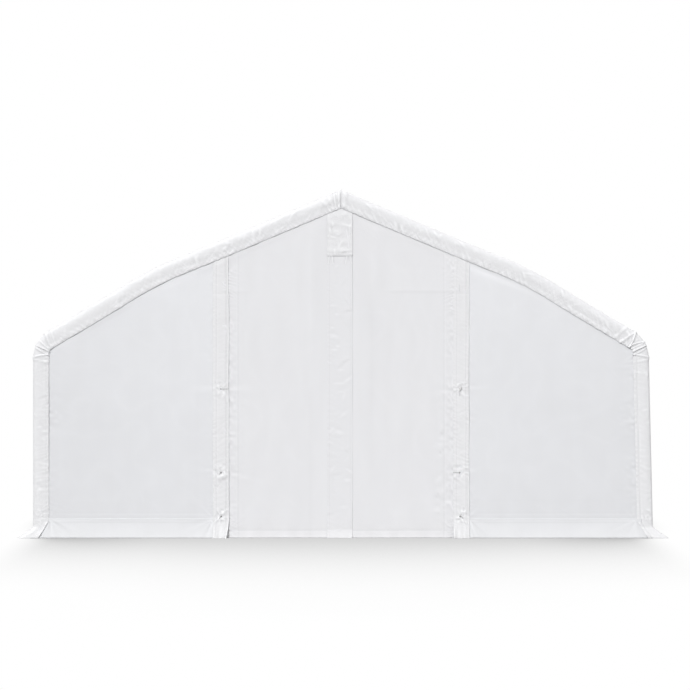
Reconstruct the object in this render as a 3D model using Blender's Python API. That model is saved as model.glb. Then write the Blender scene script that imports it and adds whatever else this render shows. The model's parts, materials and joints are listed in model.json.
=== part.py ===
"""A closed storage marquee: coated cloth over a frame of steel arches, with a zipped door in each gable.

Metres, +Z up. The ground is z = 0, the origin is the middle of the plan, and the front gable faces -Y.
"""

import math

import bmesh
import bpy

# Driving dimensions of the outer line of the cloth, seen from the front
WIDTH = 8.0
RIDGE_Z = 4.52
KNEE_X = 2.45
KNEE_Z = 3.49
EAVE_Z = 2.569  # where the wall's line and the lower rafter's line would cross
SHOULDER_RADIUS = 0.437

# Plan
BAY = 2.0
BAYS = 6
LENGTH = BAY * BAYS

# Thicknesses and tubes
CLOTH = 0.004
GAP = 0.0003
ARCH_RADIUS = 0.030
PURLIN_RADIUS = 0.021
TUBE_SIDES = 12
PLATE_THICKNESS = 0.008
PLATE_HALF = 0.070

# Bands: where the roof and the side walls are folded round the end arches
ROOF_BAND = 0.222
WALL_BAND = 0.210
SHOULDER_STEPS = 7
SEAM_STEP = 3  # the step round the shoulder where the side wall meets the roof
FOLD_STEPS = 3

# Ground skirts
WALL_SKIRT_Z = 0.32
WALL_SKIRT_FLARE = 0.20
GABLE_SKIRT_Z = 0.24
GABLE_SKIRT_LEAN = 0.12
SKIRT_STEPS = 4

# Gable: the door's two side zips, the centre zip and the header behind the cloth
DOOR_EDGE_X = 1.56
ZIP_COVER_HALF = 0.105
CENTRE_COVER_LEFT = -0.18
CENTRE_COVER_RIGHT = 0.15
HOOD_BOTTOM_Z = 3.66
HOOD_SIDE = 0.02  # how far the hood reaches past the centre cover
HEADER_Z = 3.20
GROUND_RAIL_Z = 0.12
EAVE_PURLIN_Z = 2.29

# Worked out from the dimensions above
LOWER_PITCH = math.atan2(KNEE_Z - EAVE_Z, WIDTH / 2 - KNEE_X)
UPPER_PITCH = math.atan2(RIDGE_Z - KNEE_Z, KNEE_X)
SHOULDER_TURN = math.pi / 2 - LOWER_PITCH
SHOULDER_X = WIDTH / 2 - SHOULDER_RADIUS
SHOULDER_Z = EAVE_Z - SHOULDER_RADIUS * math.tan(SHOULDER_TURN / 2)
ARCH_INSET = CLOTH + GAP + ARCH_RADIUS
PURLIN_INSET = ARCH_INSET + ARCH_RADIUS + GAP + PURLIN_RADIUS

# Layers of cloth on a gable, as distances out from the end arch's centre line
PANEL_LAYER = ARCH_RADIUS + GAP
BAND_LAYER = PANEL_LAYER + CLOTH + GAP
HOOD_LAYER = BAND_LAYER + CLOTH + GAP


def material(name, colour, roughness, metallic):
    made = bpy.data.materials.new(name)
    made.use_nodes = True
    surface = made.node_tree.nodes["Principled BSDF"]
    surface.inputs["Base Color"].default_value = (*colour, 1.0)
    surface.inputs["Roughness"].default_value = roughness
    surface.inputs["Metallic"].default_value = metallic
    return made


def loft(name, rings, surface, smooth=False):
    """A closed mesh through rings of matching points, with a flat cap on each end."""
    bm = bmesh.new()
    loops = [[bm.verts.new(point) for point in ring] for ring in rings]
    count = len(loops[0])
    for near, far in zip(loops, loops[1:]):
        for i in range(count):
            j = (i + 1) % count
            bm.faces.new((near[i], near[j], far[j], far[i]))
    bm.faces.new(loops[0])
    bm.faces.new(loops[-1])
    bmesh.ops.recalc_face_normals(bm, faces=bm.faces)
    mesh = bpy.data.meshes.new(name)
    bm.to_mesh(mesh)
    bm.free()
    if smooth:
        mesh.shade_smooth()
        mesh.set_sharp_from_angle(angle=math.radians(40))
    mesh.materials.append(surface)
    return mesh


def place(name, mesh, y=0.0, parent=None):
    thing = bpy.data.objects.new(name, mesh)
    thing.location.y = y
    thing.parent = parent
    bpy.context.scene.collection.objects.link(thing)
    return thing


def empty(name, y, turn):
    thing = bpy.data.objects.new(name, None)
    thing.location.y = y
    thing.rotation_euler.z = turn
    bpy.context.scene.collection.objects.link(thing)
    return thing


def shoulder_point(inset, angle):
    radius = SHOULDER_RADIUS - inset
    return SHOULDER_X + radius * math.cos(angle), SHOULDER_Z + radius * math.sin(angle)


def shoulder_angle(step):
    return SHOULDER_TURN * step / SHOULDER_STEPS


def shoulder(inset, first=0, last=SHOULDER_STEPS):
    """Points round the shoulder, where the wall's line bends into the lower rafter's."""
    return [shoulder_point(inset, shoulder_angle(step)) for step in range(first, last + 1)]


def knee(inset):
    """The knee moved square to both rafters by the inset, along the line that halves their bend."""
    bend = (LOWER_PITCH - UPPER_PITCH) / 2
    middle = (LOWER_PITCH + UPPER_PITCH) / 2
    reach = inset / math.cos(bend)
    return KNEE_X - reach * math.sin(middle), KNEE_Z - reach * math.cos(middle)


def upper_rafter_z(inset, x):
    return RIDGE_Z - inset / math.cos(UPPER_PITCH) - abs(x) * math.tan(UPPER_PITCH)


def roof_line(inset):
    """From the seam on the shoulder up to the ridge, which stops half a gap short of the middle."""
    seam = shoulder_angle(SEAM_STEP) + GAP / (SHOULDER_RADIUS - ROOF_BAND)
    points = [shoulder_point(inset, seam)]
    points += shoulder(inset, SEAM_STEP + 1)
    points.append(knee(inset))
    points.append((GAP / 2, upper_rafter_z(inset, GAP / 2)))
    return points


def skirt_rise(top):
    """Heights from the ground up to the top of a skirt."""
    return [top * i / SKIRT_STEPS for i in range(SKIRT_STEPS + 1)]


def wall_flare(z):
    """The share of the skirt's reach at this height: it curves out and runs flat onto the ground."""
    return (1 - min(z / WALL_SKIRT_Z, 1)) ** 2


def gable_lean(z):
    return GABLE_SKIRT_LEAN * (1 - min(z / GABLE_SKIRT_Z, 1))


def mirrored(rings, side):
    return [[(side * x, y, z) for x, y, z in ring] for ring in rings]


def folded_profile(band):
    """(inset, y) round a sheet that covers the whole length and is folded down over both gables."""
    fold_y = LENGTH / 2 + BAND_LAYER + CLOTH - ARCH_INSET

    def fold(radius, start, end):
        turns = [start + (end - start) * i / FOLD_STEPS for i in range(FOLD_STEPS + 1)]
        return [(ARCH_INSET - radius * math.cos(a), fold_y + radius * math.sin(a)) for a in turns]

    outer = fold(ARCH_INSET, 0, math.pi / 2)
    inner = fold(ARCH_INSET - CLOTH, math.pi / 2, 0)
    outer_edge = (band, LENGTH / 2 + BAND_LAYER + CLOTH)
    inner_edge = (band, LENGTH / 2 + BAND_LAYER)
    back = [*outer, outer_edge, inner_edge, *inner]
    return back + [(inset, -y) for inset, y in reversed(back)]


def roof_rings(side):
    columns = [[(x, y, z) for x, z in roof_line(inset)] for inset, y in folded_profile(ROOF_BAND)]
    return mirrored(zip(*columns), side)


def wall_column(inset, y):
    """One line up the side wall: out over the skirt, up the wall and round to the seam."""
    end = math.copysign(1, y)
    points = []
    for z in skirt_rise(WALL_SKIRT_Z):
        flare = wall_flare(z)
        x = WIDTH / 2 - inset + WALL_SKIRT_FLARE * flare
        points.append((x, y + end * GABLE_SKIRT_LEAN * flare, z))
    points += [(x, y, z) for x, z in shoulder(inset, last=SEAM_STEP)]
    return points


def wall_rings(side):
    return mirrored(zip(*[wall_column(*point) for point in folded_profile(WALL_BAND)]), side)


def flat_rings(outline, layer):
    """A flat piece of cloth on a gable: its (x, z) outline in front of the end arch."""
    faces = (-layer, -layer - CLOTH)
    return [[(x, y, z) for x, z in outline] for y in faces]


def panel_outline(side):
    """Beside the door: from its skirt up to the arch's centre line, which it follows to the door."""
    edge = DOOR_EDGE_X + GAP / 2
    outline = [(edge, GABLE_SKIRT_Z), (WIDTH / 2 - ARCH_INSET, GABLE_SKIRT_Z)]
    outline += shoulder(ARCH_INSET)
    outline.append(knee(ARCH_INSET))
    outline.append((edge, upper_rafter_z(ARCH_INSET, edge)))
    return [(side * x, z) for x, z in outline]


def strip_outline(left, right, bottom, inset):
    """An upright strip of cloth whose top follows the rafters at this inset."""
    top = [(x, upper_rafter_z(inset, x)) for x in (right, left)]
    if left < 0 < right:
        top.insert(1, (0.0, upper_rafter_z(inset, 0)))
    return [(left, bottom), (right, bottom), *top]


def door_outline(side):
    left, right = sorted((side * GAP / 2, side * (DOOR_EDGE_X - GAP / 2)))
    return strip_outline(left, right, 0, ARCH_INSET)


def skirt_rings(side):
    """The skirt under a gable panel, from the zip cover out to the side wall's corner flap."""
    rings = []
    for z in skirt_rise(GABLE_SKIRT_Z):
        inner = DOOR_EDGE_X + ZIP_COVER_HALF + GAP
        outer = WIDTH / 2 - WALL_BAND - 2 * GAP + WALL_SKIRT_FLARE * wall_flare(z)
        back = -PANEL_LAYER - gable_lean(z)
        front = back - CLOTH
        z = min(z, GABLE_SKIRT_Z - GAP)
        rings.append([(inner, back, z), (outer, back, z), (outer, front, z), (inner, front, z)])
    return mirrored(rings, side)


def circle(radius):
    """Points round the origin, the first on the first axis."""
    angles = [2 * math.pi * i / TUBE_SIDES for i in range(TUBE_SIDES)]
    return [(radius * math.cos(a), radius * math.sin(a)) for a in angles]


def arch_line(inset):
    """The whole arch from the right foot over the ridge to the left foot, starting inside the plates."""
    half = [(WIDTH / 2 - inset, PLATE_THICKNESS / 2)]
    half += shoulder(inset)
    half.append(knee(inset))
    ridge = (0.0, upper_rafter_z(inset, 0))
    return [*half, ridge, *[(-x, z) for x, z in reversed(half)]]


def plate(x, y, name):
    """A square foot plate, standing on the ground."""
    sides = [(x + i * PLATE_HALF, y + j * PLATE_HALF) for i, j in ((-1, -1), (1, -1), (1, 1), (-1, 1))]
    return loft(name, [[(px, py, z) for px, py in sides] for z in (0, PLATE_THICKNESS)], None)


def with_plates(mesh, plates):
    """The mesh fused with its foot plates."""
    body = bpy.data.objects.new(mesh.name, mesh)
    bpy.context.scene.collection.objects.link(body)
    helpers = [bpy.data.objects.new(foot.name, foot) for foot in plates]
    for helper in helpers:
        bpy.context.scene.collection.objects.link(helper)
        join = body.modifiers.new("join", "BOOLEAN")
        join.operation = "UNION"
        join.object = helper
    graph = bpy.context.evaluated_depsgraph_get()
    fused = bpy.data.meshes.new_from_object(body.evaluated_get(graph))
    for thing in (body, *helpers):
        bpy.data.objects.remove(thing)
    return fused


def arch_mesh(steel):
    columns = []
    for across, along in circle(ARCH_RADIUS):
        columns.append([(x, along, z) for x, z in arch_line(ARCH_INSET + across)])
    arch = loft("arch", list(zip(*columns)), steel, smooth=True)
    foot_x = WIDTH / 2 - ARCH_INSET
    return with_plates(arch, [plate(side * foot_x, 0, "arch_foot") for side in (-1, 1)])


def gable_post_mesh(side, steel):
    """An upright under the rafter at the door's edge, its foot plate behind the cloth."""
    x = side * DOOR_EDGE_X
    y = PURLIN_RADIUS - ARCH_RADIUS
    inset = ARCH_INSET + ARCH_RADIUS + GAP
    section = [(x + i, y + j) for i, j in circle(PURLIN_RADIUS)]
    bottom = [(px, py, PLATE_THICKNESS / 2) for px, py in section]
    top = [(px, py, upper_rafter_z(inset, px)) for px, py in section]
    post = loft("gable_post", [bottom, top], steel, smooth=True)
    return with_plates(post, [plate(x, PLATE_HALF - ARCH_RADIUS, "post_foot")])


def header_mesh(steel):
    y = PURLIN_RADIUS - ARCH_RADIUS
    end = DOOR_EDGE_X - PURLIN_RADIUS - GAP
    section = circle(PURLIN_RADIUS)
    rings = [[(x, y + i, HEADER_Z + j) for i, j in section] for x in (-end, end)]
    return loft("door_header", rings, steel, smooth=True)


def purlin_mesh(x, z, turn, steel):
    """A tube along the whole tent, a corner of its section turned towards the arches it meets."""
    end = LENGTH / 2 + ARCH_RADIUS
    cos, sin = math.cos(turn), math.sin(turn)
    section = [(x + i * cos - j * sin, z + i * sin + j * cos) for i, j in circle(PURLIN_RADIUS)]
    return loft("purlin", [[(px, y, pz) for px, pz in section] for y in (-end, end)], steel, smooth=True)


def make_frame(steel):
    arch = arch_mesh(steel)
    for i in range(BAYS + 1):
        place(f"arch_{i + 1}", arch, y=i * BAY - LENGTH / 2)
    place("ridge_purlin", purlin_mesh(0, upper_rafter_z(PURLIN_INSET, 0), math.pi / 2, steel))
    knee_x, knee_z = knee(PURLIN_INSET)
    wall_x = WIDTH / 2 - PURLIN_INSET
    for hand, side in (("left", -1), ("right", 1)):
        lean = math.pi / 2 - side * (LOWER_PITCH + UPPER_PITCH) / 2
        place(f"knee_purlin_{hand}", purlin_mesh(side * knee_x, knee_z, lean, steel))
        place(f"eave_purlin_{hand}", purlin_mesh(side * wall_x, EAVE_PURLIN_Z, 0, steel))
        place(f"ground_rail_{hand}", purlin_mesh(side * wall_x, GROUND_RAIL_Z, 0, steel))


def make_covers(cloth):
    for hand, side in (("left", -1), ("right", 1)):
        place(f"roof_cover_{hand}", loft("roof_cover", roof_rings(side), cloth))
        place(f"side_wall_{hand}", loft("side_wall", wall_rings(side), cloth))


def gable_meshes(cloth, steel):
    """One gable's pieces in its own frame, as {(name, side): mesh}, facing -Y."""
    below_band = ROOF_BAND + GAP
    centre = strip_outline(CENTRE_COVER_LEFT, CENTRE_COVER_RIGHT, 0, below_band)
    hood_left = CENTRE_COVER_LEFT - HOOD_SIDE
    hood_right = CENTRE_COVER_RIGHT + HOOD_SIDE
    hood = strip_outline(hood_left, hood_right, HOOD_BOTTOM_Z, below_band)
    made = {
        ("zip_cover_centre", 0): loft("zip_cover_centre", flat_rings(centre, BAND_LAYER), cloth),
        ("zip_hood", 0): loft("zip_hood", flat_rings(hood, HOOD_LAYER), cloth),
        ("door_header", 0): header_mesh(steel),
    }
    for side in (-1, 1):
        panel = flat_rings(panel_outline(side), PANEL_LAYER)
        door = flat_rings(door_outline(side), PANEL_LAYER)
        left = side * DOOR_EDGE_X - ZIP_COVER_HALF
        right = side * DOOR_EDGE_X + ZIP_COVER_HALF
        cover = flat_rings(strip_outline(left, right, 0, below_band), BAND_LAYER)
        made["panel", side] = loft("panel", panel, cloth)
        made["door", side] = loft("door", door, cloth)
        made["zip_cover", side] = loft("zip_cover", cover, cloth)
        made["skirt", side] = loft("skirt", skirt_rings(side), cloth)
        made["gable_post", side] = gable_post_mesh(side, steel)
    return made


def make_gables(cloth, steel):
    """The same pieces at both ends: the back ones are the front ones turned half round."""
    meshes = gable_meshes(cloth, steel)
    for end, facing in (("front", 1), ("back", -1)):
        frame = empty(f"{end}_gable", -facing * LENGTH / 2, 0 if facing > 0 else math.pi)
        for (name, side), mesh in meshes.items():
            hand = {-1: "_left", 0: "", 1: "_right"}[side * facing]
            place(f"{end}_{name}{hand}", mesh, parent=frame)


def main():
    for thing in list(bpy.data.objects):
        bpy.data.objects.remove(thing)
    cloth = material("coated_cloth", (0.86, 0.86, 0.87), 0.55, 0.0)
    steel = material("galvanised_steel", (0.60, 0.61, 0.62), 0.42, 0.9)
    make_frame(steel)
    make_covers(cloth)
    make_gables(cloth, steel)


main()
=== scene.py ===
# %% [markdown]
# # A closed storage marquee of white coated cloth
#
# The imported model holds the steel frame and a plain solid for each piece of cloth.
# This lesson dresses it. Every piece of cloth is made again as a thin sheet with its folds, hems
# and seams, the frame gets a galvanised finish, and the whole stands in soft studio light.

import json
import math

import bpy
import numpy as np
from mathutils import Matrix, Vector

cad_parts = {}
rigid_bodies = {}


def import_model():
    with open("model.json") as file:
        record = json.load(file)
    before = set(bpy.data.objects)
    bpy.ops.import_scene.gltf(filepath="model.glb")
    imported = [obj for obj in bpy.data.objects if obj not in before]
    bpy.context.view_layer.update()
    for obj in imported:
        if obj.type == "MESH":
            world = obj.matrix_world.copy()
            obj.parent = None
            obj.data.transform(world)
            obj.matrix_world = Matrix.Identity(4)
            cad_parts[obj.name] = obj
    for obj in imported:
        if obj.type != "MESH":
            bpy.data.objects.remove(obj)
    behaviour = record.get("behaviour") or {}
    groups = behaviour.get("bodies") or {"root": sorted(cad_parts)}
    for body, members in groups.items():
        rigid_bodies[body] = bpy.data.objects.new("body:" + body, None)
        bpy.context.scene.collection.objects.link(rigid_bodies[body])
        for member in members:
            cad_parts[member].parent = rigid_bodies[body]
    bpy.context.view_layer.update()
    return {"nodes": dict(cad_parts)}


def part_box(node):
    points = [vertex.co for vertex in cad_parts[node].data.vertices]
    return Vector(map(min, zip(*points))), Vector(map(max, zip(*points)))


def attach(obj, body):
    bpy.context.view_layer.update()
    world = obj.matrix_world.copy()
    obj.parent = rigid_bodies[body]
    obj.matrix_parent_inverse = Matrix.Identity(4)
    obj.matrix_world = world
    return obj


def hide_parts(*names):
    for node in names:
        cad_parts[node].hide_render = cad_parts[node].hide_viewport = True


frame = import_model()

# %% [markdown]
# ## Sizes
#
# The cloth follows the same outline as the frame, so the outline's driving sizes stand here once,
# in metres. "Outer line" is the outside of the cloth seen from the front: up the wall, round the
# shoulder, up the lower rafter to the knee and up the upper rafter to the ridge.

# %% Driving sizes
# SEAM_SHARE is how far round the shoulder the wall meets the roof, a band is the strip of cloth
# that is folded down over the gable, DOOR_EDGE_X is the middle of a side zip cover, and STRIP_HALF
# is half its width
HALF_WIDTH = 4.0
RIDGE_Z = 4.52
KNEE_X, KNEE_Z = 2.45, 3.49
EAVE_Z = 2.569
SHOULDER_RADIUS = 0.437
SEAM_SHARE = 3 / 7
BAY = 2.0
HALF_LENGTH = 6.0
ROOF_BAND = 0.222
WALL_BAND = 0.210
SKIRT_Z = 0.24
DOOR_EDGE_X = 1.56
ZIP_X = DOOR_EDGE_X - 0.02
STRIP_HALF = 0.105
CENTRE_LEFT, CENTRE_RIGHT = -0.18, 0.15
HOOD_Z = 3.66
HEADER_Z = 3.20
CLOTH_THICKNESS = 0.0012

LOWER_PITCH = math.atan2(KNEE_Z - EAVE_Z, HALF_WIDTH - KNEE_X)
UPPER_PITCH = math.atan2(RIDGE_Z - KNEE_Z, KNEE_X)
SHOULDER_TURN = math.pi / 2 - LOWER_PITCH
SHOULDER_X = HALF_WIDTH - SHOULDER_RADIUS
SHOULDER_Z = EAVE_Z - SHOULDER_RADIUS * math.tan(SHOULDER_TURN / 2)
ARCH_YS = [i * BAY - HALF_LENGTH for i in range(7)]
ENDS = ("front", "back")
SIDES = (-1, 1)
print("the shoulder starts", round(SHOULDER_Z, 3), "m up")

# %% [markdown]
# ## Camera
#
# The photograph is a level, frontal view from a good distance, so the gable's uprights stay
# upright. A long lens twenty metres away gives that, and the camera's height puts the eye line
# where the photograph has it.

# %% Camera
EYE_DISTANCE = 20.0
EYE_HEIGHT = 2.505
EYE_X = 0.052
LENS_MM = 80.28
SENSOR_MM = 36.0

scene = bpy.context.scene
camera = bpy.data.objects.new("camera", bpy.data.cameras.new("camera"))
camera.data.lens = LENS_MM
camera.data.sensor_width = SENSOR_MM
camera.data.clip_end = 500.0
camera.location = (EYE_X, -HALF_LENGTH - EYE_DISTANCE, EYE_HEIGHT)
camera.rotation_euler = (math.pi / 2, 0.0, 0.0)
scene.collection.objects.link(camera)
bpy.context.scene.camera = camera
print("view at the gable is", round(SENSOR_MM / LENS_MM * EYE_DISTANCE, 2), "m wide")

# %% [markdown]
# ## Nodes by hand
#
# The sky, the floor, the finishes and everything that repeats are node trees. A node is added with
# its settings and inputs in one call, and an input takes either a socket to link or a plain value.


# %% Helpers for node trees
def feed(tree, node, inputs):
    """Give a node's inputs, by name or place, the sockets or the plain values listed."""
    for label, value in inputs.items():
        if isinstance(value, bpy.types.NodeSocket):
            tree.links.new(value, node.inputs[label])
        else:
            node.inputs[label].default_value = value
    return node


def add(tree, kind, inputs=None, **settings):
    """A new node with its settings and inputs."""
    node = tree.nodes.new(kind)
    for label, value in settings.items():
        setattr(node, label, value)
    return feed(tree, node, inputs or {})


def maths(tree, operation, *values, clamp=False):
    """The result of a Math node on sockets or numbers."""
    inputs = dict(enumerate(values))
    return add(tree, "ShaderNodeMath", inputs, operation=operation, use_clamp=clamp).outputs[0]


def smooth_step(tree, value, low, high, curve="SMOOTHSTEP"):
    """0 below low and 1 above high."""
    inputs = {"Value": value, "From Min": low, "From Max": high}
    return add(tree, "ShaderNodeMapRange", inputs, interpolation_type=curve).outputs["Result"]


def separated(tree, vector):
    """The X, Y and Z of a vector."""
    return add(tree, "ShaderNodeSeparateXYZ", {0: vector}).outputs


def object_place(tree):
    """The X, Y and Z of a point of the object, in metres."""
    return separated(tree, tree.nodes.new("ShaderNodeTexCoord").outputs["Object"])


SOCKET_KINDS = {float: "Float", int: "Int", tuple: "Color"}


def new_tree(name, kind, inputs, outputs):
    """An empty group. Each socket is given by name, with its default value or its kind."""
    tree = bpy.data.node_groups.new(name, kind)
    for way, sockets in (("INPUT", inputs), ("OUTPUT", outputs)):
        for label, value in sockets.items():
            has_default = not isinstance(value, str)
            socket_kind = "NodeSocket" + (SOCKET_KINDS[type(value)] if has_default else value)
            socket = tree.interface.new_socket(label, in_out=way, socket_type=socket_kind)
            if has_default:
                socket.default_value = value
    return tree, tree.nodes.new("NodeGroupInput"), tree.nodes.new("NodeGroupOutput")


# %% [markdown]
# ## Light and floor
#
# The tent stands in a bright studio whose floor and background are the same white. A soft sun
# from the front, the left and above shapes the folds, a weak and wide one from the right fills
# their shade, and the sky lights the rest evenly. A lit floor would turn grey around the tent, so
# the camera sees glowing white paper instead, with a painted shadow only where the tent hides the
# sky from it.

# %% World
SKY_LOW, SKY_HIGH = 0.50, 0.60
WHITE = (1.0, 1.0, 1.0, 1.0)
scene.view_settings.view_transform = "Standard"


def camera_ray_mix(tree, unseen, seen):
    """The seen shader for what the camera looks at, the unseen one for light that bounces."""
    path = tree.nodes.new("ShaderNodeLightPath")
    inputs = {"Fac": path.outputs["Is Camera Ray"], 1: unseen.outputs[0], 2: seen.outputs[0]}
    return add(tree, "ShaderNodeMixShader", inputs).outputs[0]


def white_world():
    """A sky that is brightest overhead, and a plain white behind the object."""
    world = bpy.data.worlds.new("white_studio")
    world.use_nodes = True
    tree = world.node_tree
    tree.nodes.clear()
    rise = separated(tree, tree.nodes.new("ShaderNodeTexCoord").outputs["Generated"])["Z"]
    bright = {"Value": rise, "From Min": 0.25, "From Max": 0.75, "To Min": SKY_LOW, "To Max": SKY_HIGH}
    strength = add(tree, "ShaderNodeMapRange", bright, interpolation_type="SMOOTHSTEP").outputs["Result"]
    lit = add(tree, "ShaderNodeBackground", {"Color": WHITE, "Strength": strength})
    plain = add(tree, "ShaderNodeBackground", {"Color": WHITE})
    add(tree, "ShaderNodeOutputWorld", {"Surface": camera_ray_mix(tree, lit, plain)})
    scene.world = world


white_world()
print("world:", scene.world.name)

# %% Floor
FLOOR_HALF = 300.0
FLOOR_BOUNCE = 0.32
GABLE_SHADOW_REACH = 7.0
SIDE_SHADOW_REACH = 0.6
SHADOW_TONE = 0.66
SHADOW_FROM = (0.5, 0.93)
NEAR_GABLE_Y = (3.5, 5.6)
BESIDE_X = (3.66, 4.26)
CORNER_X = (2.2, 3.8)
CORNER_GAIN = 0.5


def floor_shade(tree):
    """How much darker the paper is painted: a painted contact shadow that is wide before the gables
    and fuller towards their corners, and that ends beside them."""
    place = object_place(tree)
    sideways = maths(tree, "ABSOLUTE", place["X"])
    lengthways = maths(tree, "ABSOLUTE", place["Y"])
    beyond = maths(tree, "SUBTRACT", lengthways, HALF_LENGTH - 0.4)
    past_end = maths(tree, "MULTIPLY", beyond, 1.6)
    reaches = {"Factor": past_end, "A": SIDE_SHADOW_REACH, "B": GABLE_SHADOW_REACH}
    reach = add(tree, "ShaderNodeMix", reaches).outputs["Result"]
    contact = add(tree, "ShaderNodeAmbientOcclusion", {"Distance": reach}, samples=16)
    near_gable = smooth_step(tree, lengthways, *NEAR_GABLE_Y)
    beside = maths(tree, "MULTIPLY", smooth_step(tree, sideways, *BESIDE_X), near_gable)
    towards_corner = maths(tree, "MULTIPLY", smooth_step(tree, sideways, *CORNER_X), near_gable)
    fuller = maths(tree, "MULTIPLY_ADD", towards_corner, CORNER_GAIN, 1.0)
    kept = maths(tree, "MULTIPLY", maths(tree, "SUBTRACT", 1.0, beside), fuller)
    open_sky = smooth_step(tree, contact.outputs["AO"], *SHADOW_FROM, "LINEAR")
    shade = maths(tree, "MULTIPLY", maths(tree, "SUBTRACT", 1.0, open_sky), 1.0 - SHADOW_TONE)
    return maths(tree, "MULTIPLY", shade, kept)


def pale_floor():
    """A pale floor that the camera sees as glowing white paper with a painted shadow."""
    mesh = bpy.data.meshes.new("floor")
    corners = [(x * FLOOR_HALF, y * FLOOR_HALF, 0) for x, y in ((-1, -1), (1, -1), (1, 1), (-1, 1))]
    mesh.from_pydata(corners, [], [(0, 1, 2, 3)])
    paint = bpy.data.materials.new("floor_white")
    paint.use_nodes = True
    tree = paint.node_tree
    tree.nodes.clear()
    pale = add(tree, "ShaderNodeBsdfDiffuse", {"Color": (FLOOR_BOUNCE, FLOOR_BOUNCE, FLOOR_BOUNCE, 1.0)})
    paper = add(tree, "ShaderNodeEmission", {"Strength": maths(tree, "SUBTRACT", 1.0, floor_shade(tree))})
    add(tree, "ShaderNodeOutputMaterial", {"Surface": camera_ray_mix(tree, pale, paper)})
    mesh.materials.append(paint)
    floor = bpy.data.objects.new("floor", mesh)
    scene.collection.objects.link(floor)


pale_floor()
print("floor:", 2 * FLOOR_HALF, "m wide")


# %% Suns
def sun(name, strength, spread_degrees, towards):
    """A soft sun: its light travels along towards."""
    lamp = bpy.data.lights.new(name, "SUN")
    lamp.energy = strength
    lamp.angle = math.radians(spread_degrees)
    thing = bpy.data.objects.new(name, lamp)
    direction = np.array(towards, float) / np.linalg.norm(towards)
    azimuth = math.atan2(direction[1], direction[0])
    thing.rotation_euler = (0.0, math.acos(-direction[2]), azimuth + math.pi)
    scene.collection.objects.link(thing)
    print(name, "turned to", [round(math.degrees(turn)) for turn in thing.rotation_euler])


sun("window_light", strength=2.14, spread_degrees=10, towards=(0.34, 0.70, -0.63))
sun("fill_light", strength=0.4, spread_degrees=40, towards=(-0.85, 0.50, -0.15))

# %% [markdown]
# ## Shared shader groups
#
# Coated cloth has a fine scrim under its film, soft creases too small to model, marks from
# handling and rain, and welded overlaps where two widths meet. Several materials need these
# effects, so each is one node group. Those of the cloth read its own UV map, which is laid out in
# metres, so a weave stays at its real size on every piece. The steel's crystals are a group too.


# %% Noise and colour mixes
def noise(tree, vector, scale, detail=3.0, roughness=0.5, distortion=0.0):
    """Cloudy noise from 0 to 1."""
    inputs = {"Vector": vector, "Scale": scale, "Detail": detail}
    inputs.update({"Roughness": roughness, "Distortion": distortion})
    return add(tree, "ShaderNodeTexNoise", inputs).outputs["Fac"]


def colour_mix(tree, share, first, second):
    """The first colour where share is 0 and the second where it is 1."""
    inputs = {"Factor": share, "A": first, "B": second}
    return add(tree, "ShaderNodeMix", inputs, data_type="RGBA").outputs["Result"]


# %% Scrim weave: threads both ways, as a height
def scrim_weave():
    inputs = {"Vector": "Vector", "Pitch": 0.003}
    group, given, out = new_tree("scrim_weave", "ShaderNodeTree", inputs, {"Height": "Float"})
    place = separated(group, given.outputs["Vector"])
    threads = []
    for axis in "XY":
        turns = maths(group, "DIVIDE", place[axis], given.outputs["Pitch"])
        wave = maths(group, "SINE", maths(group, "MULTIPLY", turns, 2 * math.pi))
        threads.append(maths(group, "ABSOLUTE", wave))
    feed(group, out, {"Height": maths(group, "MAXIMUM", *threads)})
    return group


# %% Soft creases: what is left of the folds that the cloth was packed in
def soft_creases():
    inputs = {"Vector": "Vector", "Scale": 9.0}
    group, given, out = new_tree("soft_creases", "ShaderNodeTree", inputs, {"Height": "Float"})
    broad = noise(group, given.outputs["Vector"], given.outputs["Scale"], 2.0, 0.45, 0.6)
    off_crease = maths(group, "ABSOLUTE", maths(group, "SUBTRACT", broad, 0.5))
    sharp = maths(group, "POWER", maths(group, "SUBTRACT", 1.0, off_crease), 6.0)
    small = noise(group, given.outputs["Vector"], 60.0, 2.0)
    feed(group, out, {"Height": maths(group, "ADD", sharp, maths(group, "MULTIPLY", small, 0.12))})
    return group


# %% Marks: faint clouds over the whole piece, splash dirt near the ground, and painted shade by place
PANEL_TALL = 2.6
SPLASH_TALL = 0.35
SPLASH = 0.35


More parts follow.
